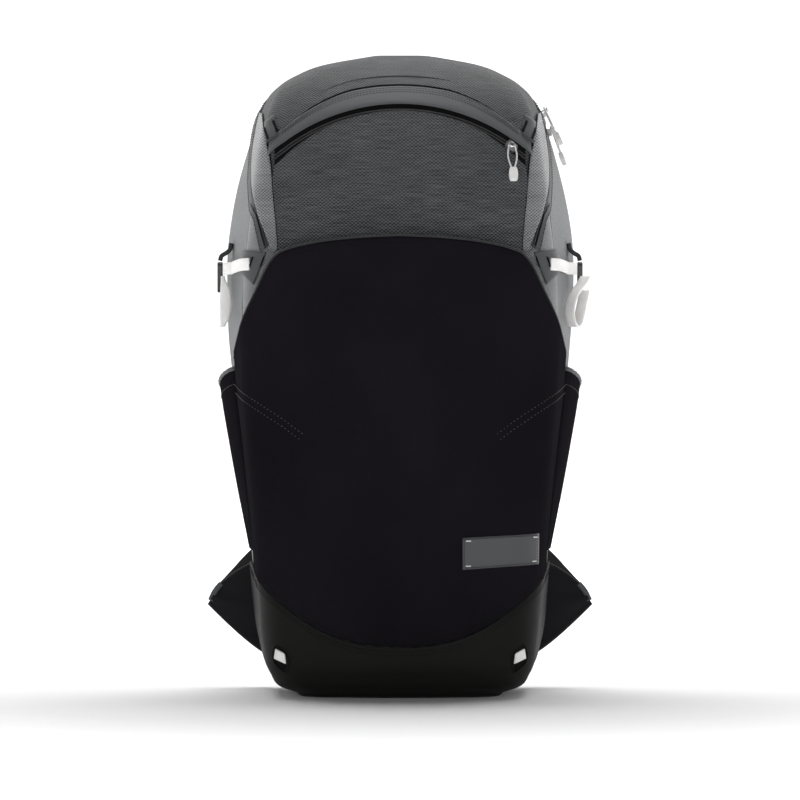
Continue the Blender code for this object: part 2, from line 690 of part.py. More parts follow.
def build_harness(side, sign):
    """One shoulder strap with its sternum rail, its ladder lock, and the wing and webbing below it."""
    count = 17
    path = curve_through([(sign * x, y, z) for x, y, z in STRAP_PATH], count)
    sizes = curve_through(list(zip(STRAP_WIDTHS, STRAP_THICK, STRAP_THICK)), count)
    rings = []
    for i, (at, size) in enumerate(zip(path, sizes)):
        along = (path[min(i + 1, count - 1)] - path[max(i - 1, 0)]).normalized()
        rings.append(strap_ring(at, along, size.x, size.y))
    finish_shading(stack(f"shoulder_strap_{side}", rings), "mesh_pad", 50)

    foot, low, high = RAIL_Y - 2.3, RAIL_Z[0], RAIL_Z[1]
    rail = [(foot, low), (RAIL_Y + 1, low), (RAIL_Y + 1, high), (foot, high)]
    rail += [(foot, high - 4), (RAIL_Y - 1, high - 4), (RAIL_Y - 1, low + 4), (foot, low + 4)]
    x = sign * RAIL_X
    finish_shading(prism(f"sternum_rail_{side}", rail, "X", x - 4, x + 4), "black_plastic")
    near, far = (x - 7, RAIL_Y - 1.9, STERNUM_Z - 9), (x + 7, RAIL_Y + 4.5, STERNUM_Z + 9)
    block = box(f"sternum_slider_{side}", near, far)
    combine(block, box("slot", (x - 4.4, RAIL_Y - 1.4, 300), (x + 4.4, RAIL_Y + 1.4, 500)))
    combine(block, box("mouth", (x - 3.2, RAIL_Y - 6, 300), (x + 3.2, RAIL_Y, 500)))
    finish_shading(block, "black_plastic")

    lock = ladder_lock(f"ladder_lock_{side}")
    for v in lock.data.vertices:
        v.co = (v.co / MM + Vector((sign * LOCK_TOP.x, LOCK_TOP.y, LOCK_TOP.z))) * MM

    wing = [(-151, 83), (-160, 70), (-113, 22), (-98, 24), (-98, 108), (-127, 108)]
    outline = [(-sign * a, b) for a, b in wing]
    finish_shading(prism(f"strap_wing_{side}", outline, "Y", BOOT_BACK, BOOT_BACK + 2.4), "black_webbing")
    on_wing = BOOT_BACK + 2.4 + GAP + WEB_THICK / 2
    bar = LOCK_TOP - Vector((0, 0, 24))
    turns = [math.radians(a) for a in (180, 150, 120, 90, 60, 30, 0)]
    route = [(150.5, on_wing, 73.5), (142, on_wing, 82.5), (134, on_wing + 0.3, 91), (120, 86.5, 106)]
    route += [(105, bar.y - 6.6, 118), (bar.x + 0.6, bar.y - 4.6, 126.5)]
    for t, a in enumerate(turns):
        route.append((bar.x + 1.5 * t / 6, bar.y + 4.3 * math.cos(a), bar.z + 4.3 * math.sin(a)))
    route += [(bar.x + 3, bar.y + 5.2, 120), (bar.x + 4, bar.y + 5.4, 108), (bar.x + 4.5, bar.y + 5.0, 94)]
    path = curve_through([(sign * x, y, z) for x, y, z in route], 46)
    wide = [(0.74, 0, 0.67)] * 4 + [(0.88, 0, 0.4)] + [(1, 0, 0)] * 11
    across = curve_through([(sign * x, y, z) for x, y, z in wide], 46)
    web = sweep(f"adjuster_webbing_{side}", path, across, HARNESS_WEB * 0.92, WEB_THICK, "black_webbing")
    finish_shading(web, "black_webbing", 50)


def ladder_lock(name):
    """A ladder-lock adjuster that hangs from the origin, with two slots for webbing."""
    outline = rounded([(-14, -26), (14, -26), (14, 0), (-14, 0)], 3)
    obj = prism(name, outline, "Y", -2.2, 2.2)
    for low in (-7.3, -14.3, -22.0):
        combine(obj, box("slot", (-10.5, -9, low), (10.5, 9, low + 4.6)))
    return finish_shading(soften(obj, 0.7, 1), "black_plastic")


def build_sternum():
    """The sternum strap: webbing from both sliders to a side-release buckle."""
    y = RAIL_Y + 8.0
    low, high = STERNUM_Z - 8, STERNUM_Z + 8
    for side, x_from, x_to in (("left", -58, -18.3), ("right", 31.3, 58)):
        web = box(f"sternum_webbing_{side}", (x_from, y - 0.8, low), (x_to, y + 0.8, high))
        finish_shading(web, "black_webbing")
    outline = rounded([(-18, low - 3), (8, low - 3), (8, high + 3), (-18, high + 3)], 3)
    socket = prism("sternum_buckle_socket", outline, "Y", y - 3.6, y + 4.4)
    combine(socket, box("mouth", (-12, y - 1.8, low + 0.5), (30, y + 2.8, high - 0.5)))
    for z in (low - 8, high - 1):
        combine(socket, box("window", (-8, y - 1.6, z), (0, y + 2.6, z + 9)))
    finish_shading(soften(socket, 0.6, 1), "black_plastic")
    outline = rounded([(8.4, low - 3), (31, low - 3), (31, high + 3), (8.4, high + 3)], 3)
    plug = prism("sternum_buckle_plug", outline, "Y", y - 3.0, y + 3.8)
    for z in (low + 1.2, STERNUM_Z - 1.6, high - 4.4):
        combine(plug, box("prong", (-9, y - 1.2, z), (12, y + 2.2, z + 3.2)), "UNION")
    combine(plug, box("slot", (24, y - 9, low), (27, y + 9, high)))
    finish_shading(plug, "black_plastic")


def main():
    for obj in list(bpy.data.objects):
        bpy.data.objects.remove(obj)
    build_shells()
    build_boot()
    build_front_panel()
    build_lid_pocket()
    form = skin("form", 0)
    meets = surface(form)
    bpy.data.objects.remove(form)
    for side, sign in SIDES:
        build_side_pocket(side, sign, meets)
        build_compression(side, sign, meets)
        build_harness(side, sign)
    build_zips(meets)
    build_inside()
    build_back()
    build_sternum()


main()
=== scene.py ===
import math

import bmesh
import bpy
import numpy as np
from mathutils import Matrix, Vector


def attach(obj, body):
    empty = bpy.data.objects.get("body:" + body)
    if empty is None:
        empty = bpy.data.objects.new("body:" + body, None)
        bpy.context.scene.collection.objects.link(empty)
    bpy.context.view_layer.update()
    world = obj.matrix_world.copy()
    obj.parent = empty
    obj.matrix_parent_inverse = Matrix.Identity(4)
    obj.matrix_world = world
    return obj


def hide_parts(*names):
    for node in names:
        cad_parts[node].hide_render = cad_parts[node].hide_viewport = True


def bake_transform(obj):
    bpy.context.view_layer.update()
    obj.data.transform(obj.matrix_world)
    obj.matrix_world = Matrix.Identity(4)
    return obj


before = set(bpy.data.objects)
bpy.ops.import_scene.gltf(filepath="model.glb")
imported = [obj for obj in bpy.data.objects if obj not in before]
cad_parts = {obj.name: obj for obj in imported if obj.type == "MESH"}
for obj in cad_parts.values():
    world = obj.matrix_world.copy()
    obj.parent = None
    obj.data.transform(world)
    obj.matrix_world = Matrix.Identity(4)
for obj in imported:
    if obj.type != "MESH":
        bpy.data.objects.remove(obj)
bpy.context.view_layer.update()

MM = 0.001
TURN = 2 * math.pi
SIDES = (("left", -1.0), ("right", 1.0))

# ------------------------------------------------------------------ camera, floor and light

SENSOR = 36
CAMERA_FAR, CAMERA_HIGH = 4.6, 0.30
VIEW_WIDTH, VIEW_MIDDLE = 0.656, 0.24026  # what the picture spans at the bag, and the height of its middle
STAGE = 7.0
WALL_BACK, WALL_HIGH, WALL_LOW = 5.0, 6.0, 1.5
FLOOR_GLOW, WALL_GLOW, WALL_GREY = 1.1, 1.05, 0.2
GLOW_FADE = (0.28, 1.2)

scene = bpy.context.scene
scene.view_settings.view_transform = "Standard"
scene.view_settings.look = "None"

camera_data = bpy.data.cameras.new("camera")
camera_data.sensor_width = SENSOR
camera_data.lens = SENSOR * CAMERA_FAR / VIEW_WIDTH
camera_data.shift_y = (VIEW_MIDDLE - CAMERA_HIGH) / VIEW_WIDTH
camera_data.clip_end = 100
camera = bpy.data.objects.new("camera", camera_data)
camera.location = (0.0, -CAMERA_FAR, CAMERA_HIGH)
camera.rotation_euler = (math.radians(90), 0, 0)
scene.collection.objects.link(camera)
scene.camera = camera


def area_light(name, location, aim, size, power):
    data = bpy.data.lights.new(name, "AREA")
    data.shape = "RECTANGLE"
    data.size, data.size_y = size
    data.energy = power
    obj = bpy.data.objects.new(name, data)
    obj.location = location
    obj.rotation_euler = (Vector(aim) - Vector(location)).to_track_quat("-Z", "Y").to_euler()
    scene.collection.objects.link(obj)


def fading_glow(tree, shader, emission):
    """Lets the glow fade out round the bag, so that its shadow stays; the fade also darkens the floor there as
    painted shade.
    """
    where = tree.nodes.new("ShaderNodeNewGeometry")
    length = tree.nodes.new("ShaderNodeVectorMath")
    length.operation = "LENGTH"
    fade = tree.nodes.new("ShaderNodeMapRange")
    fade.interpolation_type = "SMOOTHSTEP"
    fade.inputs["From Min"].default_value, fade.inputs["From Max"].default_value = GLOW_FADE
    fade.inputs["To Min"].default_value, fade.inputs["To Max"].default_value = 0.0, emission
    tree.links.new(where.outputs["Position"], length.inputs[0])
    tree.links.new(length.outputs["Value"], fade.inputs["Value"])
    tree.links.new(fade.outputs["Result"], shader.inputs["Emission Strength"])


def stage_plane(name, corners, emission, grey, fades=False):
    mesh = bpy.data.meshes.new(name)
    mesh.from_pydata(corners, [], [(0, 1, 2, 3)])
    obj = bpy.data.objects.new(name, mesh)
    scene.collection.objects.link(obj)
    made = bpy.data.materials.new(name)
    made.use_nodes = True
    shader = made.node_tree.nodes["Principled BSDF"]
    shader.inputs["Base Color"].default_value = (grey, grey, grey, 1)
    shader.inputs["Roughness"].default_value = 0.8
    shader.inputs["Specular IOR Level"].default_value = 0.1
    shader.inputs["Emission Color"].default_value = (1, 1, 1, 1)
    shader.inputs["Emission Strength"].default_value = emission
    if fades:
        fading_glow(made.node_tree, shader, emission)
    mesh.materials.append(made)


def build_studio():
    """A white floor lit from above, and bright walls all round that edge the bag with light."""
    world = bpy.data.worlds.new("studio")
    world.use_nodes = True
    background = world.node_tree.nodes["Background"]
    background.inputs["Color"].default_value = (1, 1, 1, 1)
    background.inputs["Strength"].default_value = 0.04
    scene.world = world
    far_left, far_right = (-STAGE, WALL_BACK), (STAGE, WALL_BACK)
    near_left, near_right = (-STAGE, -STAGE), (STAGE, -STAGE)
    floor = [(*corner, 0) for corner in (near_left, near_right, far_right, far_left)]
    stage_plane("floor", floor, FLOOR_GLOW, 0.94, fades=True)
    walls = (
        ("wall", far_left, far_right, -0.5, WALL_HIGH),
        ("wall_left", near_left, far_left, -0.1, WALL_LOW),
        ("wall_right", near_right, far_right, -0.1, WALL_LOW),
        ("wall_front", near_left, near_right, -0.1, WALL_LOW),
    )
    for name, a, b, foot, top in walls:
        stage_plane(name, [(*a, foot), (*b, foot), (*b, top), (*a, top)], WALL_GLOW, WALL_GREY)
    area_light("top", (0, 0.6, 2.0), (0, 0.05, 0.0), (2.2, 1.2), 42)
    area_light("front", (0, -3.2, 0.5), (0, 0.0, 0.3), (3.0, 0.9), 31)
    for side, sign in SIDES:
        area_light(f"side_{side}", (1.7 * sign, 0.75, 0.5), (0, 0.0, 0.28), (0.8, 1.6), 6)


build_studio()

# ------------------------------------------------------------------ materials


class Wire:
    """A node's output, which can be added to, taken from and multiplied."""

    def __init__(self, tree, socket):
        self.tree, self.socket = tree, socket

    def math(self, operation, other=0.0):
        node = self.tree.nodes.new("ShaderNodeMath")
        node.operation = operation
        self.into(node.inputs[0])
        if isinstance(other, Wire):
            other.into(node.inputs[1])
        else:
            node.inputs[1].default_value = other
        return Wire(self.tree, node.outputs[0])

    def into(self, socket):
        self.tree.links.new(self.socket, socket)

    def __add__(self, other):
        return self.math("ADD", other)

    def __sub__(self, other):
        return self.math("SUBTRACT", other)

    def __mul__(self, other):
        return self.math("MULTIPLY", other)

    def wave(self, period):
        return (self * (TURN / period)).math("SINE")


class Look:
    """A material, built in short steps. Its weave coordinates are in millimetres."""

    def __init__(self, name, roughness=0.7, specular=0.4, metallic=0.0, sheen=0.0, sheen_rough=0.5):
        self.material = bpy.data.materials.new(name)
        self.material.use_nodes = True
        self.tree = self.material.node_tree
        self.shader = self.tree.nodes["Principled BSDF"]
        self.set(self.shader, {"Roughness": roughness, "Specular IOR Level": specular, "Metallic": metallic,
                               "Sheen Weight": sheen, "Sheen Roughness": sheen_rough})

    def set(self, node, values):
        for key, value in values.items():
            if isinstance(value, Wire):
                value.into(node.inputs[key])
            else:
                node.inputs[key].default_value = value

    def node(self, kind, values, output=0, **settings):
        made = self.tree.nodes.new(kind)
        for key, value in settings.items():
            setattr(made, key, value)
        self.set(made, values)
        return Wire(self.tree, made.outputs[output])

    def weave(self):
        """The place in the weave, then its parts across and along."""
        uv = self.node("ShaderNodeUVMap", {}, uv_map="weave")
        return uv, *(self.node("ShaderNodeSeparateXYZ", {0: uv}, part) for part in (0, 1))

    def spot(self):
        return self.node("ShaderNodeTexCoord", {}, "Object")

    def ramp(self, value, low, high, to_low=0.0, to_high=1.0):
        return self.node("ShaderNodeMapRange", {0: value, 1: low, 2: high, 3: to_low, 4: to_high})

    def noise(self, vector, scale, detail=2.0, rough=0.5):
        """Noise at one scale, or at a pair of scales across and along."""
        if isinstance(scale, tuple):
            vector = self.node("ShaderNodeVectorMath", {0: vector, 1: (*scale, 1.0)}, operation="MULTIPLY")
            scale = 1.0
        values = {"Vector": vector, "Scale": scale, "Detail": detail, "Roughness": rough}
        return self.node("ShaderNodeTexNoise", values)

    def finish(self, amount, dark, light, height, strength, distance):
        """Sets the colour, between two others, and the bumps; gives the material."""
        values = {0: amount, 6: (*dark, 1), 7: (*light, 1)}
        colour = self.node("ShaderNodeMix", values, 2, data_type="RGBA")
        bump = self.node("ShaderNodeBump", {"Strength": strength, "Distance": distance, "Height": height})
        self.set(self.shader, {"Base Color": colour, "Normal": bump})
        return self.material


def diamond_fabric(name, dark, light, across=3.2, down=2.6, streak=0.5, sheen=0.1, roughness=0.62):
    """A dobby weave of small staggered diamonds, with uneven yarns that run across."""
    look = Look(name, roughness=roughness, specular=0.25, sheen=sheen, sheen_rough=0.4)
    uv, u, v = look.weave()
    drift = (look.noise(uv, (0.12, 0.3)) - 0.5) * 1.2
    dot = ((u + drift) * (TURN / across)).math("COSINE") * (v * (TURN / down)).math("COSINE")
    cell = look.ramp(dot, 0.70, -0.55)
    yarn = look.noise(uv, (0.05, 1.5), 3, 0.6) - 0.5
    cloud = look.noise(uv, (0.02, 0.05)) - 0.5
    level = cell * 0.85 + yarn * (streak * 2.0) + cloud * 0.35
    return look.finish(look.ramp(level, 0.0, 1.0), dark, light, cell + v.wave(0.55) * 0.12, 0.8, 0.0005)


def plain_fabric(name, dark, light, roughness=0.7, sheen=0.15, grain=0.5, specular=0.3, bump=0.35):
    """A plain, fine weave with soft changes of tone."""
    look = Look(name, roughness=roughness, specular=specular, sheen=sheen, sheen_rough=0.45)
    uv, u, v = look.weave()
    thread = u.wave(0.9) * v.wave(0.8)
    slub = look.noise(uv, (0.06, 1.1), 3, 0.6)
    cloud = look.noise(uv, (0.016, 0.013), 3)
    level = thread * 0.12 + slub * grain + cloud * 0.3
    return look.finish(look.ramp(level, 0.05, 0.95), dark, light, thread * 0.5 + slub, bump, 0.00035)


def webbing(name, dark, light, rib=1.1, sheen=0.1):
    """A narrow woven strap, with ribs across it and two rows of warp."""
    look = Look(name, roughness=0.6, sheen=sheen)
    uv, u, v = look.weave()
    warps = u.wave(1.25)
    shape = v.wave(rib) * warps * 0.5 + warps * 0.3
    grime = look.noise(uv, (0.08, 0.05), 3)
    return look.finish(look.ramp(shape * 0.25 + grime, 0.2, 0.9), dark, light, shape, 0.6, 0.0003)


def mesh_fabric(name, dark, light, period=2.6):
    """An open spacer mesh over foam: rows of small holes."""
    look = Look(name, roughness=0.85, specular=0.15, sheen=0.05)
    spot = look.spot()
    values = {"Vector": spot, "Scale": 1 / (period * MM), "Randomness": 0.12}
    hole = look.ramp(look.node("ShaderNodeTexVoronoi", values, "Distance"), 0.25, 0.55)
    tone = look.ramp(look.noise(spot, 60.0), 0.2, 0.8, 0.7, 1.0)
    return look.finish(hole * tone, dark, light, hole, 0.7, 0.0006)


def moulded(name, dark, light, roughness=0.45, specular=0.5, bump=0.15):
    """Moulded plastic with a fine spark-eroded grain."""
    look = Look(name, roughness=roughness, specular=specular)
    spot = look.spot()
    wear = look.ramp(look.noise(spot, 90.0, 3), 0.3, 0.75)
    return look.finish(wear, dark, light, look.noise(spot, 2600.0), bump, 0.0002)


def cast_metal(name, dark, light, roughness=0.32):
    look = Look(name, metallic=1.0)
    wear = look.noise(look.spot(), 500.0, 3)
    look.set(look.shader, {"Roughness": look.ramp(wear, 0.2, 0.8, roughness * 0.8, roughness * 1.4)})
    return look.finish(look.ramp(wear, 0.3, 0.8), dark, light, wear, 0.2, 0.0001)


def stretch_fabric(name, dark, light):
    """A dense matte stretch fabric with a fine diagonal twill and a few soft marks of use."""
    look = Look(name, roughness=0.8, specular=0.0, sheen=0.012, sheen_rough=0.4)
    uv, u, v = look.weave()
    cloud = look.noise(uv, (0.010, 0.007), 3)
    lint = look.noise(uv, 0.9, 3, 0.7)
    level = look.ramp(cloud * 0.8 + lint * 0.25, 0.25, 0.85)
    return look.finish(level, dark, light, (u + v).wave(0.85) + lint, 0.25, 0.00025)


SMOOTH_TAPE = {"roughness": 0.5, "grain": 0.15, "bump": 0.15}
LOOKS = (
    (diamond_fabric, "pocket_panel", (0.0025, 0.0028, 0.003), (0.108, 0.113, 0.119), {"streak": 0.9}),
    (diamond_fabric, "lid_fabric", (0.003, 0.0032, 0.0035), (0.108, 0.111, 0.117),
     {"across": 2.8, "down": 3.2, "streak": 0.9}),
    (diamond_fabric, "gusset", (0.045, 0.047, 0.050), (0.30, 0.306, 0.318),
     {"across": 2.6, "down": 2.4, "sheen": 0.3, "roughness": 0.45}),
    (plain_fabric, "side_fabric", (0.060, 0.063, 0.067), (0.112, 0.118, 0.124), {"sheen": 0.3}),
    (plain_fabric, "flap", (0.056, 0.058, 0.062), (0.088, 0.091, 0.096), {"grain": 0.35}),
    (plain_fabric, "lash", (0.034, 0.036, 0.038), (0.050, 0.052, 0.055), SMOOTH_TAPE | {"roughness": 0.6}),
    (plain_fabric, "trim", (0.060, 0.064, 0.068), (0.085, 0.090, 0.094), SMOOTH_TAPE),
    (stretch_fabric, "stretch", (0.0058, 0.0053, 0.0072), (0.0125, 0.0112, 0.0142), {}),
    (plain_fabric, "coated", (0.0055, 0.0054, 0.0050), (0.0125, 0.0124, 0.0115),
     {"roughness": 0.6, "sheen": 0.0, "grain": 0.3, "specular": 0.10}),
    (plain_fabric, "lining", (0.10, 0.10, 0.105), (0.15, 0.15, 0.155), {}),
    (plain_fabric, "label", (0.066, 0.067, 0.072), (0.084, 0.085, 0.090),
     SMOOTH_TAPE | {"bump": 0.1, "specular": 0.2}),
    (webbing, "white_webbing", (0.80, 0.79, 0.78), (0.96, 0.95, 0.94), {}),
    (webbing, "black_webbing", (0.006, 0.006, 0.007), (0.016, 0.016, 0.017), {"sheen": 0.03}),
    (webbing, "cord", (0.40, 0.40, 0.39), (0.72, 0.71, 0.70), {"rib": 0.8}),
    (plain_fabric, "wing", (0.006, 0.0055, 0.007), (0.015, 0.014, 0.017), {"sheen": 0.05, "specular": 0.15}),
    (plain_fabric, "thread", (0.05, 0.05, 0.052), (0.09, 0.09, 0.095), {}),
    # dark thread, also used as painted shade along the crease over the lid pocket's flap and the gap beside the
    # pocket
    (plain_fabric, "thread_dark", (0.006, 0.006, 0.007), (0.010, 0.010, 0.011),
     {"specular": 0.05, "sheen": 0.0}),
    (plain_fabric, "thread_white", (0.65, 0.65, 0.64), (0.85, 0.85, 0.84), {}),
    (plain_fabric, "zip_tape", (0.05, 0.052, 0.056), (0.09, 0.093, 0.098), {"roughness": 0.55}),
    (plain_fabric, "strap_edge", (0.012, 0.012, 0.013), (0.024, 0.024, 0.026), {}),
    (plain_fabric, "binding", (0.012, 0.012, 0.014), (0.022, 0.022, 0.025), {"roughness": 0.6}),
    (mesh_fabric, "mesh_pad", (0.004, 0.004, 0.005), (0.017, 0.017, 0.018), {}),
    (moulded, "coil", (0.010, 0.010, 0.011), (0.022, 0.022, 0.024), {"roughness": 0.35}),
    (moulded, "black_plastic", (0.010, 0.010, 0.011), (0.018, 0.018, 0.019), {}),
    (moulded, "cap", (0.62, 0.61, 0.60), (0.82, 0.81, 0.80), {"roughness": 0.35, "bump": 0.05}),
    (moulded, "board", (0.03, 0.03, 0.032), (0.05, 0.05, 0.052), {}),
    # painted shade: near black, for the insides of slots and slits and the zip in the flap's shadow
    (moulded, "void", (0.003, 0.003, 0.003), (0.005, 0.005, 0.005), {"roughness": 0.9, "specular": 0.1}),
    (cast_metal, "metal", (0.465, 0.465, 0.4725), (0.62, 0.62, 0.63), {}),
    (cast_metal, "stay", (0.54, 0.5475, 0.555), (0.72, 0.73, 0.74), {"roughness": 0.4}),
)
MATERIALS = {name: make(name, dark, light, **options) for make, name, dark, light, options in LOOKS}

# ------------------------------------------------------------------ the bag's surface

# Height, half-width at the front and at the back, y of the front and of the back, then the radius
# of the front and of the back corners: the same design as the frame's.
STATIONS = np.array((
    (2.5, 78, 88, -56, 54, 26, 26),
    (9, 93, 101, -70, 67, 28, 26),
    (20, 101, 109, -79, 73, 30, 26),
    (45, 107, 117, -85, 76, 32, 24),
    (80, 110, 121.5, -88, 76, 32, 24),
    (125, 112, 125.5, -89, 76, 32, 24),
    (200, 118, 134, -89, 76, 32, 24),
    (260, 123, 142, -87, 76, 30, 24),
    (320, 124, 147, -84, 76, 28, 24),
    (370, 120, 147, -80, 76, 24, 24),
    (404, 116, 142, -76, 76, 22, 24),
    (437, 111, 134, -69, 76, 22, 26),
    (462, 107, 126, -60, 76, 22, 28),
    (480, 103, 118, -50, 75, 22, 30),
    (495, 95, 109, -36, 72, 24, 32),
    (507, 80, 92, -18, 67, 24, 32),
    (517, 56, 65, 4, 60, 22, 26),
    (524, 20, 24, 26, 46, 9, 10),
), float)
HEIGHT, BASE, CROWN = 524.0, 2.5, 6.0
POCKET_DEPTH = np.array(((45, 0.0), (110, 1.0), (200, 6.0), (300, 12.5), (345, 13.0), (385, 11.0)), float)
FRONT, CORNER, FLANK, HEEL, REAR = 95.0, 40.0, 105.0, 35.0, 125.0  # the runs of the outline, front to back
FLANK_END = FRONT + CORNER + FLANK
ROUND = FLANK_END + HEEL + REAR
SEAM = FRONT + CORNER + 2.0  # where the textured front meets the plain side
HEEL_SEAM = FLANK_END + 20.0
HINGE_Y, HINGE_Z, LID_SLOPE = -80.0, 376.0, math.radians(38)
BOOT_MIDDLE, BOOT_RISE, BOOT_HALF = 43.0, 70.0, 127.0


def smooth(table, at):
    """A table's rows at any values of its first column, on a smooth curve through them."""
    keys, values = table[:, 0], table[:, 1:]
    slopes = np.gradient(values, keys, axis=0)
    at = np.clip(np.asarray(at, float), keys[0], keys[-1])
    i = np.minimum(np.searchsorted(keys, at, side="right") - 1, len(keys) - 2)
    span = keys[i + 1] - keys[i]
    t = ((at - keys[i]) / span)[..., None]
    ease = t * t * (3 - 2 * t)
    bend = slopes[i] * t * (1 - t) ** 2 - slopes[i + 1] * t * t * (1 - t)
    return values[i] * (1 - ease) + values[i + 1] * ease + bend * span[..., None]


def pocket_depth(z):
    return smooth(POCKET_DEPTH, z)[..., 0]


def pair(a, b):
    """Two arrays of numbers, spread to one shape."""
    return np.broadcast_arrays(np.asarray(a, float), np.asarray(b, float))


def skin(s, z, forward=0.0):
    """Points of the bag's outer surface: s is the way round from the middle of the front, z the height."""
    s, z = pair(s, z)
    half, half_back, y, y_back, r, r_back = np.moveaxis(smooth(STATIONS, z), -1, 0)
    y = y - forward
    size = np.hypot(half_back - half, y_back - y)
    dx, dy = (half_back - half) / size, (y_back - y) / size
    turn, turn_back = math.pi - np.arccos(-dx), math.pi - np.arccos(dx)
    cut, cut_back = r / np.tan((math.pi - turn) / 2), r_back / np.tan((math.pi - turn_back) / 2)
    edge, edge_back = half - cut, half_back - cut_back
    start_x, start_y = half + dx * cut, y + dy * cut
    end_x, end_y = half_back - dx * cut_back, y_back - dy * cut_back
    crown = CROWN * np.minimum(1.0, (HEIGHT - z) / 60)
    heel = np.arctan2(end_y - (y_back - r_back), end_x - edge_back)
    runs = (
        (FRONT, lambda k: (edge * k, y - crown * (1 - k**2))),
        (CORNER, lambda k: (edge + r * np.sin(k * turn), y + r - r * np.cos(k * turn))),
        (FLANK, lambda k: (start_x + (end_x - start_x) * k, start_y + (end_y - start_y) * k)),
        (HEEL, lambda k: (edge_back + r_back * np.cos(heel + k * turn_back),
                          y_back - r_back + r_back * np.sin(heel + k * turn_back))),
        (REAR, lambda k: (edge_back * (1 - k), y_back)),
    )
    x, depth, begin, a = 0.0, 0.0, 0.0, np.abs(s)
    for length, run in runs:
        run_x, run_y = run(np.clip((a - begin) / length, 0, 1))
        x, depth = np.where(a >= begin, run_x, x), np.where(a >= begin, run_y, depth)
        begin += length
    return np.stack([x * np.sign(np.where(s == 0, 1, s)), depth, z], axis=-1)


def unit(v):
    v = np.asarray(v, float)
    return v / np.maximum(np.linalg.norm(v, axis=-1, keepdims=True), 1e-9)


def normals(s, z, forward=0.0, step=1.5):
    """Outward unit normals of the surface."""
    s, z = pair(s, z)
    across = skin(s + step, z, forward) - skin(s - step, z, forward)
    up = skin(s, np.minimum(z + step, HEIGHT), forward) - skin(s, np.maximum(z - step, BASE), forward)
    return unit(np.cross(across, up))


def bisect(low, high, inside):
    """The places between low and high where a test turns from true to false."""
    for _ in range(40):
        middle = (low + high) / 2
        hit = inside(middle)
        low, high = np.where(hit, middle, low), np.where(hit, high, middle)
    return (low + high) / 2


def lid_line(s):
    """Height at which the surface meets the lid's plane, for each way round."""
    s = np.asarray(s, float)

    def below(z):
        return z <= HINGE_Z + (skin(s, z)[..., 1] - HINGE_Y) * math.tan(LID_SLOPE)

    return bisect(np.full(s.shape, 350.0), np.full(s.shape, 515.0), below)


ZIP_SHIFT = np.array(((95, -14.0), (104, -13.0), (110, -1.0), (117, 9.0), (125, 10.0), (135, 8.0),
                      (150, 5.0), (165, 2.0), (180, 0.0), (500, 0.0)))


def zip_line(s):
    """Height of the main zip, which dips where it ends at the front's corners."""
    return lid_line(s) + np.interp(np.abs(s), ZIP_SHIFT[:, 0], ZIP_SHIFT[:, 1])


def boot_line(s):
    """Height of the boot's edge for each way round."""
    s = np.asarray(s, float)
    z = np.full(s.shape, 80.0)
    for _ in range(12):
        share = np.minimum(1.0, np.abs(skin(s, z)[..., 0]) / BOOT_HALF)
        z = BOOT_MIDDLE + BOOT_RISE * share**2.4
    return z


def s_of_x(x, z, forward=0.0):
    """The way round at which the front surface has this x, at a height."""
    x, z = pair(x, z)
    start, end = np.zeros(x.shape), np.full(x.shape, FLANK_END)
    s = bisect(start, end, lambda s: skin(s, z, forward)[..., 0] < np.abs(x))
    return s * np.sign(np.where(x == 0, 1, x))


def s_of_y(y, z):
    """The way round at which the right flank has this y, at a height."""
    y, z = pair(y, z)
    start, end = np.full(y.shape, FRONT), np.full(y.shape, FLANK_END + HEEL)
    return bisect(start, end, lambda s: skin(s, z)[..., 1] < y)


def columns(start, end, step=5.0, sign=1):
    """Ways round from start to end, closer together at the corners; a negative sign mirrors them."""
    marks = [start]
    while marks[-1] < end - 1e-6:
        a = abs(marks[-1] + 0.5)
        fine = FRONT - 6 < a < FRONT + CORNER + 4 or FLANK_END - 4 < a < ROUND - REAR + 4
        marks.append(min(end, marks[-1] + (step * 0.62 if fine else step)))
    return np.array(marks) if sign > 0 else -np.array(marks)[::-1]


def wrinkles(seed, amount, scale_s, scale_z, count=14):
    """A smooth, repeatable relief made of a few waves."""
    pick = np.random.default_rng(seed)
    waves = [(pick.normal(0, 1 / scale_s), pick.normal(0, 1 / scale_z), pick.uniform(0, 6.3),
              pick.uniform(0.4, 1)) for _ in range(count)]

    def relief(s, z):
        return amount * sum(w * np.sin(a * s + b * z + c) for a, b, c, w in waves) / math.sqrt(count)

    return relief


# ------------------------------------------------------------------ mesh making


def add_object(name, points, faces, uvs, material):
    """A mesh object from points in millimetres, with its weave coordinates."""
    mesh = bpy.data.meshes.new(name)
    mesh.from_pydata([tuple(p) for p in np.asarray(points, float) * MM], [], faces)
    loops = np.zeros(len(mesh.loops), int)
    mesh.loops.foreach_get("vertex_index", loops)
    layer = mesh.uv_layers.new(name="weave")
    layer.data.foreach_set("uv", np.asarray(uvs, float)[loops].ravel())
    mesh.materials.append(MATERIALS[material])
    mesh.shade_smooth()
    obj = bpy.data.objects.new(name, mesh)
    scene.collection.objects.link(obj)
    return obj


def place(obj, body, slot, *nodes):
    """Gives a piece its body and hides the CAD nodes that it stands for. Its material slot is not used."""
    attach(obj, body)
    if nodes:
        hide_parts(*nodes)


def evaluated(obj):
    """A new mesh of an object, with its modifiers applied."""
    depsgraph = bpy.context.evaluated_depsgraph_get()
    depsgraph.update()
    return bpy.data.meshes.new_from_object(obj.evaluated_get(depsgraph))


def apply_modifiers(obj):
    mesh, old = evaluated(obj), obj.data
    obj.modifiers.clear()
    obj.data = mesh
    bpy.data.meshes.remove(old)


def join(name, objects):
    """Several mesh objects of one material made one."""
    made = bmesh.new()
    material = objects[0].data.materials[0]
    for obj in objects:
        mesh = evaluated(obj)
        made.from_mesh(mesh)
        bpy.data.meshes.remove(mesh)
        bpy.data.objects.remove(obj)
    mesh = bpy.data.meshes.new(name)
    made.to_mesh(mesh)
    made.free()
    mesh.materials.append(material)
    obj = bpy.data.objects.new(name, mesh)
    scene.collection.objects.link(obj)
    return obj


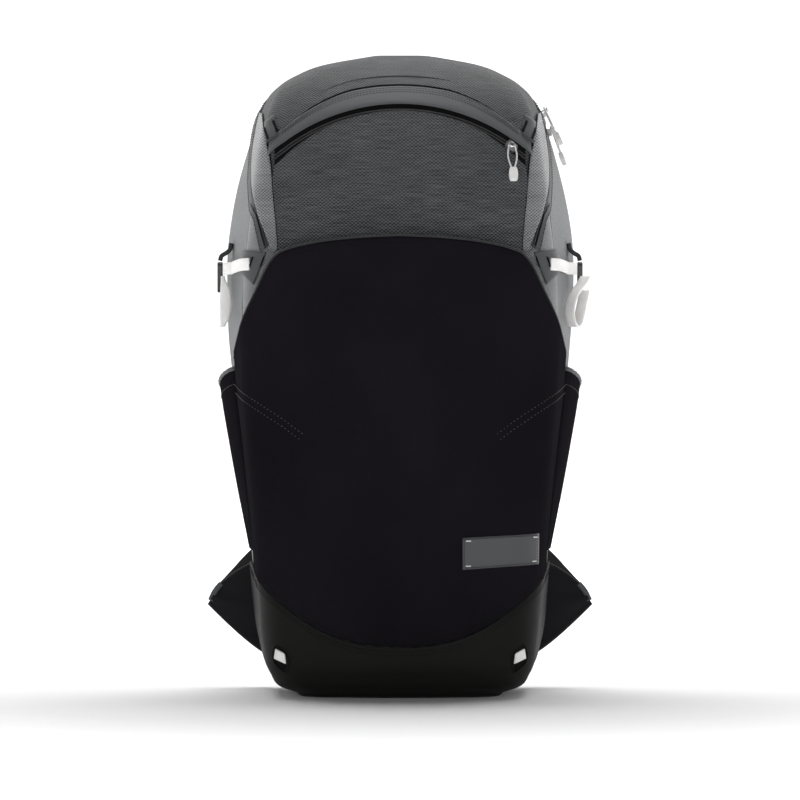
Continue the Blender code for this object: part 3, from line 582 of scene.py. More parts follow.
def thicken(obj, thick, offset=-1):
    solid = obj.modifiers.new("thickness", "SOLIDIFY")
    solid.thickness, solid.offset = thick * MM, offset


def grid_faces(rows, across, closed=False):
    faces = []
    for j in range(rows - 1):
        for i in range(across if closed else across - 1):
            a, b = j * across + i, j * across + (i + 1) % across
            faces.append((a, b, b + across, a + across))
    return faces


def fan(middle, first, count, back=False):
    """Triangles from a middle point to a ring of others."""
    pairs = [(first + k, first + (k + 1) % count) for k in range(count)]
    return [(b, a, middle) if back else (a, b, middle) for a, b in pairs]


def grid_object(name, points, uv, material, thick, offset=-1):
    """A sheet from a grid of points, given its thickness."""
    faces = grid_faces(*points.shape[:2])
    obj = add_object(name, points.reshape(-1, 3), faces, uv.reshape(-1, 2), material)
    thicken(obj, thick, offset)
    return obj


def surface_path(s, z, offset, forward=0.0):
    """Points over the bag's surface, and the normals there."""
    n = normals(s, z, forward)
    return skin(s, z, forward) + n * np.asarray(offset, float)[..., None], n


def patch(name, s, low, high, rows, offset, material, thick, forward=None, relief=None):
    """A panel that lies on the bag's surface between two heights, given for each way round."""
    s, z = pair(s, low + (high - low) * np.linspace(0, 1, rows)[:, None])
    lift = offset + (relief(s, z) if relief else 0.0)
    points, _ = surface_path(s, z, lift, pocket_depth(z) if forward is None else forward)
    return grid_object(name, points, np.stack([s, z], axis=-1), material, thick)


def front_patch(name, x, z, offset, material, thick, forward=0.0):
    """A small patch on the front, from a grid of front-view places."""
    points, _ = surface_path(s_of_x(x, z, forward), z, offset, forward)
    return grid_object(name, points, np.stack([x, z], axis=-1), material, thick)


def quad_grid(corners, rows, cols):
    """A grid over a four-sided region: corners are low-left, low-right, high-right and high-left."""
    a, b, c, d = np.array(corners, float)
    u, v = np.linspace(0, 1, cols)[None, :, None], np.linspace(0, 1, rows)[:, None, None]
    at = (a * (1 - u) + b * u) * (1 - v) + (d * (1 - u) + c * u) * v
    return at[..., 0], at[..., 1]


def mirrored(corners, sign):
    """The corners of a left-hand quad for either side, always the same way round."""
    a, b, c, d = [(-sign * x, z) for x, z in corners]
    return (a, b, c, d) if sign < 0 else (b, a, d, c)


def distances(path):
    """Each point's distance along a path."""
    return np.concatenate([[0], np.cumsum(np.linalg.norm(np.diff(path, axis=0), axis=1))])


def resample(rows, run, at):
    return np.column_stack([np.interp(at, run, column) for column in rows.T])


def curve_through(points, count):
    """Evenly spaced points on a smooth curve through some others."""
    points = np.asarray(points, float)
    table = np.column_stack([np.arange(len(points)), points])
    fine = smooth(table, np.linspace(0, len(points) - 1, max(200, count * 4)))
    run = distances(fine)
    return resample(fine, run, np.linspace(0, run[-1], count))


def on_front(points, offset, forward=0.0, count=None):
    """A path over the front surface through front-view places, and the normals there."""
    x, z = (curve_through(points, count) if count else np.asarray(points, float)).T
    ahead = pocket_depth(z) if callable(forward) else forward
    s = s_of_x(x, z, ahead)
    return surface_path(s, z, offset(s, z) if callable(offset) else offset, ahead)


def tangents(path):
    t = np.empty_like(path)
    t[1:-1] = path[2:] - path[:-2]
    t[0], t[-1] = path[1] - path[0], path[-1] - path[-2]
    return unit(t)


def tube(name, path, sections, widths, material):
    """A closed form along a path, from each place's section and its weave coordinates across."""
    count = len(sections[0])
    run = np.repeat(distances(path), count)
    faces = [tuple(reversed(range(count))), *grid_faces(len(path), count, closed=True)]
    faces.append(tuple(range((len(path) - 1) * count, len(path) * count)))
    uvs = np.column_stack([np.ravel(widths), run])
    return add_object(name, np.reshape(sections, (-1, 3)), faces, uvs, material)


def band(name, path, across, width, thick, material):
    """A flat strap along a path. Its section has rounded edges, and its weave runs along it."""
    path = np.asarray(path, float)
    along = tangents(path)
    across = np.broadcast_to(np.asarray(across, float), path.shape)
    wide = unit(across - along * np.sum(along * across, axis=1, keepdims=True))
    up = np.cross(along, wide)
    flat = np.linspace(-0.94, 0.94, 5)
    ring = np.array([*((x, -1) for x in flat), (1, -0.4), (1, 0.4), *((x, 1) for x in flat[::-1]),
                     (-1, 0.4), (-1, -0.4)])
    half = np.broadcast_to(np.asarray(width, float), len(path))[:, None] / 2 * ring[:, 0]
    sections = path[:, None] + wide[:, None] * half[..., None] + up[:, None] * (thick / 2 * ring[:, 1:])
    return tube(name, path, sections, half, material)


def bead(name, path, radius, material, flat=1.0, ups=(0.0, 0.0, 1.0)):
    """A round cord or a piped edge along a path."""
    path = np.asarray(path, float)
    along = tangents(path)
    side = np.cross(along, np.broadcast_to(np.asarray(ups, float), path.shape))
    weak = np.linalg.norm(side, axis=1) < 0.05
    side[weak] = np.cross(along[weak], (0.31, 0.95, 0.02))
    side = unit(side)
    top = np.cross(side, along)
    turns = -TURN * np.arange(8)[:, None] / 8
    radii = np.broadcast_to(np.asarray(radius, float), len(path))[:, None, None]
    sections = path[:, None] + radii * (side[:, None] * np.cos(turns) + top[:, None] * np.sin(turns) * flat)
    return tube(name, path, sections, -turns[:, 0] * radii[..., 0], material)


STITCH_ENDS = ((0.0, 0.3, -0.5), (0.18, 1, 0.6), (0.82, 1, 0.6), (1.0, 0.3, -0.5))  # place, size and height
STITCH_TURNS = np.radians((30, 90, 150, 270))


def stitches(name, line, material, length=2.2, gap=1.3, radius=0.32, lift=0.15):
    """A row of sewn stitches along a path that lies on a surface."""
    path, out = line
    run = distances(path)
    points, faces = [], []
    for start in np.arange(gap, run[-1] - length, length + gap):
        stops = [start + length * stop for stop, _, _ in STITCH_ENDS]
        at, n = resample(path, run, stops), unit(resample(out, run, stops))
        along = unit(at[-1] - at[0])
        base = len(points)
        for middle, normal, (_, size, up) in zip(at, n, STITCH_ENDS):
            side = np.cross(along, normal)
            for c, w in zip(np.cos(STITCH_TURNS), np.sin(STITCH_TURNS)):
                height = lift + radius * (up + size * w)
                points.append(middle + normal * height + side * (radius * size * c))
        faces += [tuple(base + k for k in (b, a, d, c)) for a, b, c, d in grid_faces(4, 4, closed=True)]
        faces += [tuple(base + k for k in range(4)), tuple(base + 15 - k for k in range(4))]
    return add_object(name, points, faces, np.zeros((len(points), 2)), material)


# ------------------------------------------------------------------ the bag's body

WALL_THICK, WALL_ROWS = 1.5, 66
FOLD_LOW, FOLD_HIGH = 366.0, 384.0


def body_top(s):
    return zip_line(s) - 1.2


def wall(name, s, high, material, relief=None):
    """A stretch of the bag's wall, from behind the boot's edge up."""
    return patch(name, s, boot_line(s) - 8, high, WALL_ROWS, 0.0, material, WALL_THICK, 0.0, relief)


def build_body():
    """The main bag: its textured front, plain sides and back, and a light lining."""
    front = columns(-SEAM, SEAM)
    high = body_top(front)
    high = np.where(high < FOLD_HIGH, np.minimum(high, FOLD_LOW), high)
    piece = wall("front_wall", front, high, "gusset", wrinkles(3, 0.5, 22, 30))
    place(piece, "pack", "side_fabric", "main_shell")
    for side, sign in SIDES:
        s = columns(SEAM, HEEL_SEAM, sign=sign)
        piece = wall(f"side_wall_{side}", s, body_top(s), "side_fabric", wrinkles(4 + int(sign), 0.8, 26, 34))
        place(piece, "pack", "side_fabric", "main_shell")
    halves = [columns(HEEL_SEAM, ROUND, sign=sign) for _, sign in SIDES]
    backs = [wall("back_wall_half", s, body_top(s), "wing") for s in halves]
    place(join("back_wall", backs), "pack", "side_fabric", "main_shell")
    ring = columns(-ROUND, ROUND, 8.0)
    high = body_top(ring) - 1.5
    ring[-1] -= 0.001
    lining = patch("lining", ring, 10.0, high, 40, -1.9, "lining", 0.8, forward=0.0)
    place(lining, "pack", "side_fabric", "main_shell")
    # piping where each side meets the back
    z = np.linspace(120, zip_line(HEEL_SEAM) - 2, 120)
    for side, sign in SIDES:
        path, _ = surface_path(sign * HEEL_SEAM, z, 0.6)
        place(bead(f"back_seam_{side}", path, 1.5, "black_webbing"), "pack", "side_fabric")


def build_fold():
    """The front fabric and the pocket's fabric where the lid folds: both run from the bag to the lid."""
    s = columns(-FRONT - 8, FRONT + 8)
    fabric = patch("lid_fold_fabric", s, 362.0, np.full(len(s), 386.0), 22, -0.3, "gusset", 1.2, forward=0.0)
    x, z = quad_grid([(-98.2, 358.0), (98.2, 358.0), (99.9, 381.6), (-99.9, 381.6)], 20, 60)
    pocket = front_patch("pocket_fold_fabric", x, z, 1.66, "pocket_panel", 1.0)
    for obj, slot in ((fabric, "side_fabric"), (pocket, "ripstop")):
        apply_modifiers(obj)
        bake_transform(obj)
    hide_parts("main_shell", "lid_shell")


BOOT_OUT = 2.5
FOOT_CENTRE = np.array((0.0, 5.0, 0.0))


def build_boot():
    """The coated base, with its flat foot and its curved upper edge, turned in and stitched twice."""
    s = columns(-ROUND, ROUND)[:-1]
    m = len(s)
    level = normals(s, 3.4)
    level[:, 2] = 0
    level = unit(level)
    rim = skin(s, BASE)
    top = boot_line(s) - 0.3
    rows, uv = [], []
    for share in (0.35, 0.6, 0.8, 0.93):
        rows.append((FOOT_CENTRE + (rim - FOOT_CENTRE) * share) * (1, 1, 0))
        uv.append(rows[-1][:, :2])
    for a in np.radians((-90, -60, -30, 0)):
        rows.append(rim + BOOT_OUT * (level * math.cos(a) + np.array((0, 0, math.sin(a)))))
        uv.append(np.column_stack([s, rows[-1][:, 2]]))
    relief = wrinkles(12, 0.45, 20, 16)
    for t in np.linspace(0, 1, 44)[1:]:
        z = BASE + (top - BASE) * t**1.15
        out = normals(s, z)
        if t < 0.25:
            out = unit(out * (t / 0.25) + level * (1 - t / 0.25))
        rows.append(skin(s, z) + out * (BOOT_OUT + relief(s, z) * min(1.0, t * 3))[:, None])
        uv.append(np.column_stack([s, z]))
    rows.append(surface_path(s, top, 0.4)[0])
    uv.append(np.column_stack([s, top + 2]))
    points = np.vstack([*rows, FOOT_CENTRE])
    faces = grid_faces(len(rows), m, closed=True) + fan(len(points) - 1, 0, m, back=True)
    boot = add_object("boot", points, faces, np.vstack([*uv, FOOT_CENTRE[:2]]), "coated")
    thicken(boot, 1.2)
    place(boot, "pack", "coated", "base_boot")
    keep = np.abs(s) < FLANK_END
    for k, down in enumerate((3.5, 6.5)):
        line = surface_path(s[keep], top[keep] - down, 2.55)
        place(stitches(f"boot_stitch_{k + 1}", line, "thread_dark", radius=0.3), "pack", "coated")


EYE_WIDE = 5.4
GEAR_TAB = ((-98.8, 33.6), (-90.2, 29.8), (-91.2, 37.6), (-97.8, 41.4))


def build_gear_tab(side, sign):
    """A white tab in an eye-shaped slit of the boot; the slit's dark inside is a patch of painted shade."""
    x, z = quad_grid(mirrored(GEAR_TAB, sign), 6, 6)
    tab = front_patch(f"gear_tab_piece_{side}", x, z, 4.2, "white_webbing", 1.3)
    place(tab, "pack", "white_webbing", f"gear_tab_{side}")
    t = np.linspace(0, 1, 24)
    middle_x, middle_z, bow = sign * (98.8 - 8.5 * t), 44.0 - 21.5 * t, EYE_WIDE * np.sin(np.pi * t)

    def across(share):
        return middle_x + sign * bow * 0.94 * share, middle_z - bow * 0.34 * share

    for k, share in enumerate((1, -1)):
        path, _ = on_front(np.column_stack(across(share)), 3.1)
        place(bead(f"gear_slit_{side}_{k + 1}", path, 0.85, "coated", flat=0.8), "pack", "coated")
    # the slit's inside: a near-black patch of painted shade, where the real slit is in shadow
    x, z = np.stack([across(share) for share in np.linspace(1, -1, 5) * -sign], axis=1)
    place(front_patch(f"gear_eye_{side}", x, z, 2.9, "void", 0.3), "pack", "coated")


PANEL_EDGE = np.array(((0, 373.5), (36, 371.7), (71, 367.3), (90, 362.5), (98, 359), (103, 354), (107, 347),
                       (114, 331), (125, 306), (132, 284.5), (138, 267), (143, 256), (149, 250)), float)
PANEL_OUT, PANEL_SIDE = 2.7, 183.0
PANEL_DART = ((137, 250), (118, 237), (98, 223), (79, 209))
panel_folds = wrinkles(21, 0.55, 30, 60)


def panel_top(s):
    """Height of the stretch panel's free edge for each way round."""
    z = np.full(s.shape, 330.0)
    for _ in range(60):
        x = np.abs(skin(s, z, pocket_depth(z))[..., 0])
        z = 0.6 * z + 0.4 * smooth(PANEL_EDGE, x)[..., 0]
    return z


def build_front_panel():
    """The black stretch pocket over the front, with its bound edge and its sewn rows."""
    s = columns(-PANEL_SIDE, PANEL_SIDE, 4.0)
    high, low = panel_top(s), boot_line(s) + 0.3

    def relief(s, z):
        t = (z - low) / (high - low)
        edge = np.clip(np.minimum(t, 1 - t) * 12, 0, 1)
        pucker = 0.5 * np.sin(s * 0.42 + 2 * np.sin(s * 0.07)) * np.exp(-t * 22)
        return panel_folds(s, z) * edge + pucker

    panel = patch("stretch_panel", s, low, high, 84, PANEL_OUT, "stretch", 2.0, relief=relief)
    place(panel, "pack", "stretch", "front_stretch_panel")
    path, _ = surface_path(s, high, 1.75, pocket_depth(high))
    place(bead("panel_binding", path, 1.25, "binding"), "pack", "stretch")
    for name, z in (("hem", high - 6.0), ("low", low + 3.5)):
        line = surface_path(s, z, PANEL_OUT + 0.05, pocket_depth(z))
        place(stitches(f"panel_{name}_stitch", line, "thread_dark", radius=0.3), "pack", "stretch")
    # the sewn diagonals that part the pocket from the sides
    for side, sign in SIDES:
        for k, shift in enumerate((0.0, 5.0)):
            dart = [(sign * (x - 0.58 * shift), z + 0.82 * shift) for x, z in PANEL_DART]
            line = on_front(dart, lambda s, z: PANEL_OUT + 0.05 + panel_folds(s, z), pocket_depth, 60)
            rows = stitches(f"panel_dart_{side}_{k + 1}", line, "thread", length=1.1, gap=2.3, radius=0.28)
            place(rows, "pack", "stretch")


LABEL = ((50, 105.2), (108.6, 109.2), (109, 134), (50, 130.8))
LABEL_SEAM = ((51.2, 106.5), (107.4, 110.4), (107.7, 132.6), (51.2, 129.5), (51.2, 106.5))
LABEL_TACKS = ((54.6, 128.4, 2.0), (106.2, 131.2, 1.5), (54.4, 108.2, 2.0), (105.2, 111.6, 1.3))
LABEL_OUT = 4.0


def build_label():
    """The plain label with its sewn border and its four bar tacks."""
    x, z = quad_grid(LABEL, 12, 26)
    piece = front_patch("label_piece", x, z, LABEL_OUT, "label", 1.0, pocket_depth(z))
    place(piece, "pack", "label", "label_patch")
    for k, (x, z, half) in enumerate(LABEL_TACKS):
        path, _ = on_front([(x - half, z), (x + half, z)], LABEL_OUT + 0.1, pocket_depth, 6)
        place(bead(f"label_tack_{k + 1}", path, 0.6, "thread_white", flat=0.8), "pack", "label")
    t = np.linspace(0, 1, 30)[:, None]
    edges = [np.array(a) * (1 - t) + np.array(b) * t for a, b in zip(LABEL_SEAM, LABEL_SEAM[1:])]
    line = on_front(np.concatenate(edges), LABEL_OUT + 0.05, pocket_depth)
    place(stitches("label_stitch", line, "thread_dark", length=1.6, gap=0.8, radius=0.22), "pack", "label")


POCKET_FRONT, POCKET_BACK, POCKET_FOOT, POCKET_SWELL = -5.0, 60.0, 117.0, 10.0
POCKET_TOPS = (267.0, 246.0)


def build_side_pocket(side, sign):
    """A stretch pocket on one flank, with its elastic hem."""
    t, up = np.linspace(0, 1, 28)[None, :], np.linspace(0, 1, 34)[:, None]
    top = POCKET_TOPS[0] + (POCKET_TOPS[1] - POCKET_TOPS[0]) * t
    y, z = pair(POCKET_FRONT + (POCKET_BACK - POCKET_FRONT) * t, POCKET_FOOT + (top - POCKET_FOOT) * up)
    bulge = POCKET_SWELL * np.sin(np.pi * t) ** 0.6 * np.sin(np.pi / 2 * up) ** 0.8
    puckers = 0.35 * np.sin(y * 0.9 + z * 0.05) * up**6
    folds = wrinkles(31, 0.4, 18, 30)(s_of_y(y, z), z) * np.sin(np.pi * t)
    out = skin(s_of_y(y, z), z)[..., 0] + 2.3 + bulge + folds + puckers
    points = np.stack([sign * out, y, z], axis=-1)
    if sign < 0:
        points = points[:, ::-1]
    piece = grid_object(f"side_pocket_piece_{side}", points, np.stack([y, z], axis=-1), "stretch", 1.6)
    place(piece, "pack", "stretch", f"side_pocket_{side}")
    hem = points[-1] - np.array((sign * 0.7, 0, 0.5))
    place(bead(f"side_pocket_hem_{side}", hem, 1.9, "side_fabric"), "pack", "stretch")
    line = points[-4], np.broadcast_to((sign, 0.0, 0.0), points[-4].shape)
    place(stitches(f"side_pocket_stitch_{side}", line, "thread", radius=0.3), "pack", "stretch")


ZIP_START = 103.5
TAPE_EDGES = (1.3, 2.6, 4.5, 6.5, 7.2)


def build_main_zip():
    """The main zip round both flanks and the back: two tapes and the coil between them."""
    s = np.concatenate([np.arange(ZIP_START, 140, 1.0), columns(140, ROUND, 4.0)])
    line = curve_through(np.column_stack([s, zip_line(s)]), 190)
    aside = tangents(line)[:, ::-1] * (-1, 1)
    for side, sign in SIDES:

        def beside(shift):
            s, z = (line + aside * shift).T
            return np.minimum(s, ROUND) * sign, z

        for name, body, way in (("lower", "pack", -1), ("upper", "lid", 1)):
            s, z = np.stack([beside(edge * way) for edge in TAPE_EDGES], axis=1)
            if way * sign < 0:
                s, z = s[:, ::-1], z[:, ::-1]
            points, _ = surface_path(s, z, 1.1)
            tape = grid_object(f"zip_tape_{name}_{side}", points, np.stack([s, z], axis=-1), "zip_tape", 0.9)
            place(tape, body, "zip_tape", f"main_zip_tape_{name}")
            path, _ = surface_path(*beside(1.4 * way), 1.2)
            place(bead(f"zip_coil_{name}_{side}", path, 0.95, "coil", flat=0.8), body, "zip_tape")
            seam = surface_path(*beside(5.6 * way), 1.15)
            place(stitches(f"zip_stitch_{name}_{side}", seam, "thread_dark", radius=0.3), body, "zip_tape")


# ------------------------------------------------------------------ the lid

LID_LINES, LINING_IN = 52, 2.2
LID_PEAK = np.array((0.0, 34.0, HEIGHT - 0.1))


def build_lid():
    """The lid: a soft domed top of textured fabric, and its lining."""
    s = columns(-ROUND, ROUND)[:-1]
    m = len(s)
    low = zip_line(s) + 1.2
    low = np.where(np.abs(s) < FRONT + 8, np.maximum(low, FOLD_HIGH), low)
    relief = wrinkles(41, 0.6, 26, 26)
    outer, inner = [], []
    for t in np.linspace(0, 1, LID_LINES):
        z = low + (HEIGHT - low) * (1 - (1 - t) ** 2.2)
        n = normals(s, z)
        if t > 0.97:
            n = unit(n + np.array((0, 0, 2.0)))
        lift = relief(s, z) * min(1, t * 5) * min(1, (1 - t) * 5)
        outer.append(skin(s, z) + n * lift[:, None])
        inner.append(skin(s, z) - n * LINING_IN)
    outer += [LID_PEAK + (outer[-1] - LID_PEAK) * share for share in (0.66, 0.33)]
    points = np.vstack([*outer, LID_PEAK])
    uvs = np.column_stack([points[:, 0], points[:, 2] + points[:, 1] * 0.75])
    faces = grid_faces(len(outer), m, closed=True) + fan(len(points) - 1, len(points) - 1 - m, m)
    top = add_object("lid_top", points, faces, uvs, "lid_fabric")
    points = np.vstack([*inner, LID_PEAK - np.array((0, 0, LINING_IN))])
    faces = grid_faces(len(inner), m, closed=True) + fan(len(points) - 1, len(points) - 1 - m, m)
    lining = add_object("lid_lining", points, [f[::-1] for f in faces], points[:, [0, 2]], "lining")
    for obj, thick in ((top, 1.4), (lining, 0.7)):
        thicken(obj, thick)
        place(obj, "lid", "ripstop", "lid_shell")


# Front-view lines of the two edges of the strip beside the pocket, on the left
STRIP_INNER = ((-111.5, 474.0), (-109.5, 463.0), (-107, 449.0), (-104, 433.0), (-102.0, 404.0),
               (-99.5, 376.0), (-98.6, 362.0))
STRIP_OUTER = ((-114.0, 476.0), (-117.0, 460.0), (-119.5, 438.0), (-118.6, 415.0), (-113.5, 391.0),
               (-107.5, 374.0), (-102.6, 361.0))


def build_lid_strip(side, sign):
    """The strip of lighter fabric between the pocket and the zip, and the seam along it, drawn as a dark bead whose
    darkness is painted shade of the gap beside the pocket.
    """
    inner, outer = (curve_through(edge, 46)[:, None] for edge in (STRIP_INNER, STRIP_OUTER))
    k = np.linspace(0, 1, 9)[None, :, None]
    grid = inner * k + outer * (1 - k)
    if sign > 0:
        grid = grid[:, ::-1]
    strip = front_patch(f"lid_strip_{side}", -sign * grid[..., 0], grid[..., 1], 1.25, "gusset", 0.9)
    place(strip, "lid", "ripstop", "lid_shell")
    # the seam beside the pocket: a real seam, darkened as painted shade of the gap
    path, _ = on_front([(-sign * x, z) for x, z in STRIP_INNER], 1.2, 0.0, 90)
    place(bead(f"pocket_gap_shade_{side}", path, 0.75, "thread_dark"), "lid", "ripstop")


ARCH_RADIUS, FLAP_WIDTH, FLAP_END = 153.0, 17.0, 105.5
ARCH_TOP = 480.0
ARCH_SLANT = 0.954 / math.hypot(0.30, 0.954)  # the arch lies in a plane that leans back
POCKET_LOW, POCKET_HALF, POCKET_LEAN, ZIP_END = 381.0, 99.5, 3.6, 100.5


def arch(radius, angle):
    """Front-view place, x and z, of a point on the arch, by its radius and its angle from the top."""
    return radius * np.sin(angle), ARCH_TOP + ARCH_SLANT * (radius * np.cos(angle) - ARCH_RADIUS)


def arch_row(radius, end, count):
    """A row of the arch at one radius, that ends at the same x on both sides."""
    return arch(radius, np.arcsin(end / radius) * np.linspace(-1, 1, count))


def build_lid_pocket():
    """The arched pocket's textured panel, and the zip round it, whose tape is near black: painted shade of the
    shadow under the flap.
    """
    cols = 70
    t = np.linspace(-1, 1, cols)
    top_x, top_z = arch_row(ARCH_RADIUS - 5.8 - 5.2 * t**2, ZIP_END, cols)
    v = np.linspace(0, 1, 48)[:, None]
    half = POCKET_HALF + POCKET_LEAN * np.minimum(1.0, v / 0.55)
    z = POCKET_LOW * (1 - v) + top_z * v
    x = t * half * (1 - v**6) + top_x * v**6
    swell = 1.6 + 1.2 * np.sin(np.pi * v) * np.cos(t * np.pi / 2) ** 0.5 + wrinkles(51, 0.45, 24, 22)(x, z)
    edge = np.minimum(np.minimum(v, 1 - v) * 10, 1) * np.minimum((1 - np.abs(t)) * 14, 1)
    lift = 1.7 + (np.clip(swell, 1.0, 4.5) - 1.0) * edge
    panel = front_patch("pocket_panel_piece", x, z, lift, "pocket_panel", 1.2)
    place(panel, "lid", "ripstop", "lid_pocket_panel")
    # the zip's tape under the flap, painted near black as shade
    x, z = np.stack([arch_row(ARCH_RADIUS + r, 101.0, 90) for r in np.linspace(-13.0, 8.0, 8)], axis=1)
    tape = front_patch("pocket_zip_shade_piece", x, z, 1.0, "void", 0.7)
    place(tape, "lid", "zip_tape", "pocket_zip_tape")
    for k, inward in enumerate((6.6, 4.6)):
        path, _ = on_front(np.column_stack(arch_row(ARCH_RADIUS - inward, ZIP_END, 110)), 1.3)
        place(bead(f"pocket_zip_coil_{k + 1}", path, 0.6, "coil"), "lid", "zip_tape")


# The flap's section: shares of its width up from its lip, and how far it stands off the lid
FLAP_SECTION = ((1.0, 0.35), (0.93, 0.75), (0.8, 1.3), (0.62, 2.0), (0.42, 2.8), (0.24, 3.5), (0.1, 3.9),
                (0.02, 3.9), (-0.02, 3.4), (0.0, 2.9), (0.1, 2.7), (0.3, 2.1), (0.55, 1.3), (0.8, 0.6), (0.97, 0.1))


def build_flap():
    """The flap over the pocket's zip: a flat fold of the lid's edge, lifted along its lip and stitched."""
    count, rows = 130, len(FLAP_SECTION)
    t = np.linspace(-1, 1, count)
    ends = np.clip((1 - np.abs(t)) * 16, 0.0, 1.0) ** 0.5
    width = FLAP_WIDTH * (1 - 0.42 * np.clip((np.abs(t) - 0.35) / 0.5, 0, 1) ** 1.3)

    def across(radius):
        return arch(radius, np.arcsin(FLAP_END / radius) * t)

    grid, uv = [], []
    for share, lift in FLAP_SECTION:
        x, z = across(ARCH_RADIUS - 1.0 + (width + 1.0) * share)
        grid.append(surface_path(s_of_x(x, z), z, 0.4 + (lift - 0.4) * (0.45 + 0.55 * ends))[0])
        uv.append(np.column_stack([t * FLAP_END, share * width]))
    faces = [(j * count + i, (j + 1) % rows * count + i, (j + 1) % rows * count + i + 1, j * count + i + 1)
             for j in range(rows) for i in range(count - 1)]
    faces.append(tuple(j * count for j in reversed(range(rows))))
    faces.append(tuple(j * count + count - 1 for j in range(rows)))
    flap = add_object("flap_piece", np.vstack(grid), faces, np.vstack(uv), "flap")
    place(flap, "lid", "trim", "lid_arch_flap")
    # a dark bead along the fold's upper edge, painted shade of its crease, and the fainter line of the seam behind
    # it
    crease_shade_then_seam_line = ((0.5, 0.74, 0.8, "thread_dark"), (9.0, 0.6, 0.45, "lash"))
    for k, (beyond, reach, radius, finish) in enumerate(crease_shade_then_seam_line):
        keep = np.abs(t) < reach
        path, _ = on_front(np.column_stack(across(ARCH_RADIUS + width + beyond))[keep], 0.3)
        radii = radius * (1 - (t[keep] / reach) ** 6) + 0.05
        place(bead(f"lid_crease_shade_and_seam_{k + 1}", path, radii, finish), "lid", "ripstop")
    for k, (share, lift) in enumerate(((0.86, 1.1), (0.74, 1.6), (0.62, 2.05))):
        x, z = across(ARCH_RADIUS - 1.0 + (width + 1.0) * share)
        line = on_front(np.column_stack([x, z])[np.abs(t) < 0.9], lift)
        row = stitches(f"flap_stitch_{k + 1}", line, "thread_dark", length=1.8, gap=0.9, radius=0.18, lift=0.0)
        place(row, "lid", "trim")


LASH_PATCH = ((-105.8, 448), (-97.6, 455), (-101.7, 472), (-110, 466.6))
LASH_SLOTS = ((-106.6, 456.0), (-100.3, 462.0))


def lash_lift(z):
    """How far a lash patch stands off the lid: more where it lies on the flap."""
    return 1.2 + 2.5 * np.clip((463 - z) / 13, 0, 1)


def build_lash_patch(side, sign):
    """A patch with two slots, at one end of the flap; each slot is a near-black bead of painted shade."""
    x, z = quad_grid(mirrored(LASH_PATCH, sign), 12, 12)
    piece = front_patch(f"lash_patch_piece_{side}", x, z, lash_lift(z), "lash", 1.0)
    place(piece, "lid", "trim", f"lash_patch_{side}")
    # each slot: a near-black bead of painted shade in the opening
    for k, (x, z) in enumerate(LASH_SLOTS):
        slot = [(-sign * (x - 1.9 * way), z + 4.8 * way) for way in (1, 0, -1)]
        path, n = on_front(slot, lambda s, z: lash_lift(z) + 0.1, 0.0, 10)
        place(bead(f"lash_slot_{side}_{k + 1}", path, 1.15, "void", flat=0.45, ups=n), "lid", "trim")


# ------------------------------------------------------------------ straps and hardware

WHITE_WEB, HARNESS_WEB, WEB_THICK = 10.0, 20.0, 1.4
STRAP_Z, STRAP_START, STRAP_STOP = 348.0, 119.6, -9.0
BUCKLE_X, BUCKLE_Y, BUCKLE_THICK, KEEPER_Z = 146.0, 15.5, 4.0, 362.0
SIDE_PATCH = ((-127, 344), (-117.5, 334.5), (-107.5, 360), (-126, 362.5))
TAIL_HEIGHTS = (300.8, 304, 307.5, 312, 321, 328.4, 338.7, 344)
TAIL_WIDTHS = (4.0, 5.0, 7.6, 8.7, 9.5, 8.7, 4.0, 2.5)
TAIL_OUT = (144.9, 144.5, 143.2, 142.6, 142.2, 142.6, 145.0, 145.8)
# The tail's loop: how far back of its foot, and the height
TAIL = ((27.5, 341.5), (20, 335), (8.5, 327), (1, 316), (2.5, 305.5), (8.5, 300.8), (14.5, 304), (18.5, 312),
        (22.5, 321), (26.5, 330))
TAIL_FOOT_Y = -25.5


def build_side_patch(side, sign):
    """The slotted patch that the side strap leaves; its slots are near-black beads of painted shade."""
    x, z = quad_grid(mirrored(SIDE_PATCH, sign), 14, 14)
    piece = front_patch(f"side_patch_piece_{side}", x, z, 1.9, "flap", 1.5)
    place(piece, "pack", "trim", f"side_patch_{side}")
    # each slot: a near-black bead of painted shade in the opening
    for k, x in enumerate((-118.4, -110.2)):
        path, _ = on_front([(-sign * (x - 1.4), 348.5), (-sign * (x + 1.2), 356.5)], 2.05, 0.0, 8)
        place(bead(f"side_slot_{side}_{k + 1}", path, 1.15, "void", flat=0.5), "pack", "trim")


def build_side_strap(side, sign):
    """The white strap from its patch round the corner to the hook buckle, and the buckle's black keeper."""
    t = np.linspace(0, 1, 40)
    s = (s_of_x(STRAP_START, STRAP_Z) * (1 - t) + s_of_y(STRAP_STOP, STRAP_Z) * t) * sign
    lift = 3.6 + 1.4 * np.sin(np.pi * t) ** 0.7
    lift[:4] = np.linspace(2.9, lift[4], 4)
    path, _ = surface_path(s, STRAP_Z + 2.6 * (1 - t) ** 1.4, lift)
    end = [(sign * 144.2, 1.0, STRAP_Z), (sign * 144.7, 8.2, STRAP_Z)]
    path = curve_through(np.vstack([path[::4], path[-1:], end]), 60)
    strap = band(f"side_strap_{side}", path, (0, 0, 1), WHITE_WEB, WEB_THICK, "white_webbing")
    place(strap, "pack", "white_webbing", f"compression_strap_{side}")
    flank, bar = skin(s_of_y(BUCKLE_Y, KEEPER_Z), KEEPER_Z)[0], BUCKLE_X + BUCKLE_THICK / 2
    reach = ((flank + 1.4, 369), (flank + 2.8, 363.8), (bar - 5.0, 361.0), (bar - 1.2, 358.5), (bar, 354.6))
    path = curve_through([(sign * x, BUCKLE_Y, z) for x, z in reach], 18)
    keeper = band(f"keeper_piece_{side}", path, (0, 1, 0), 10, 3.4, "black_webbing")
    place(keeper, "pack", "black_webbing", f"buckle_keeper_{side}")


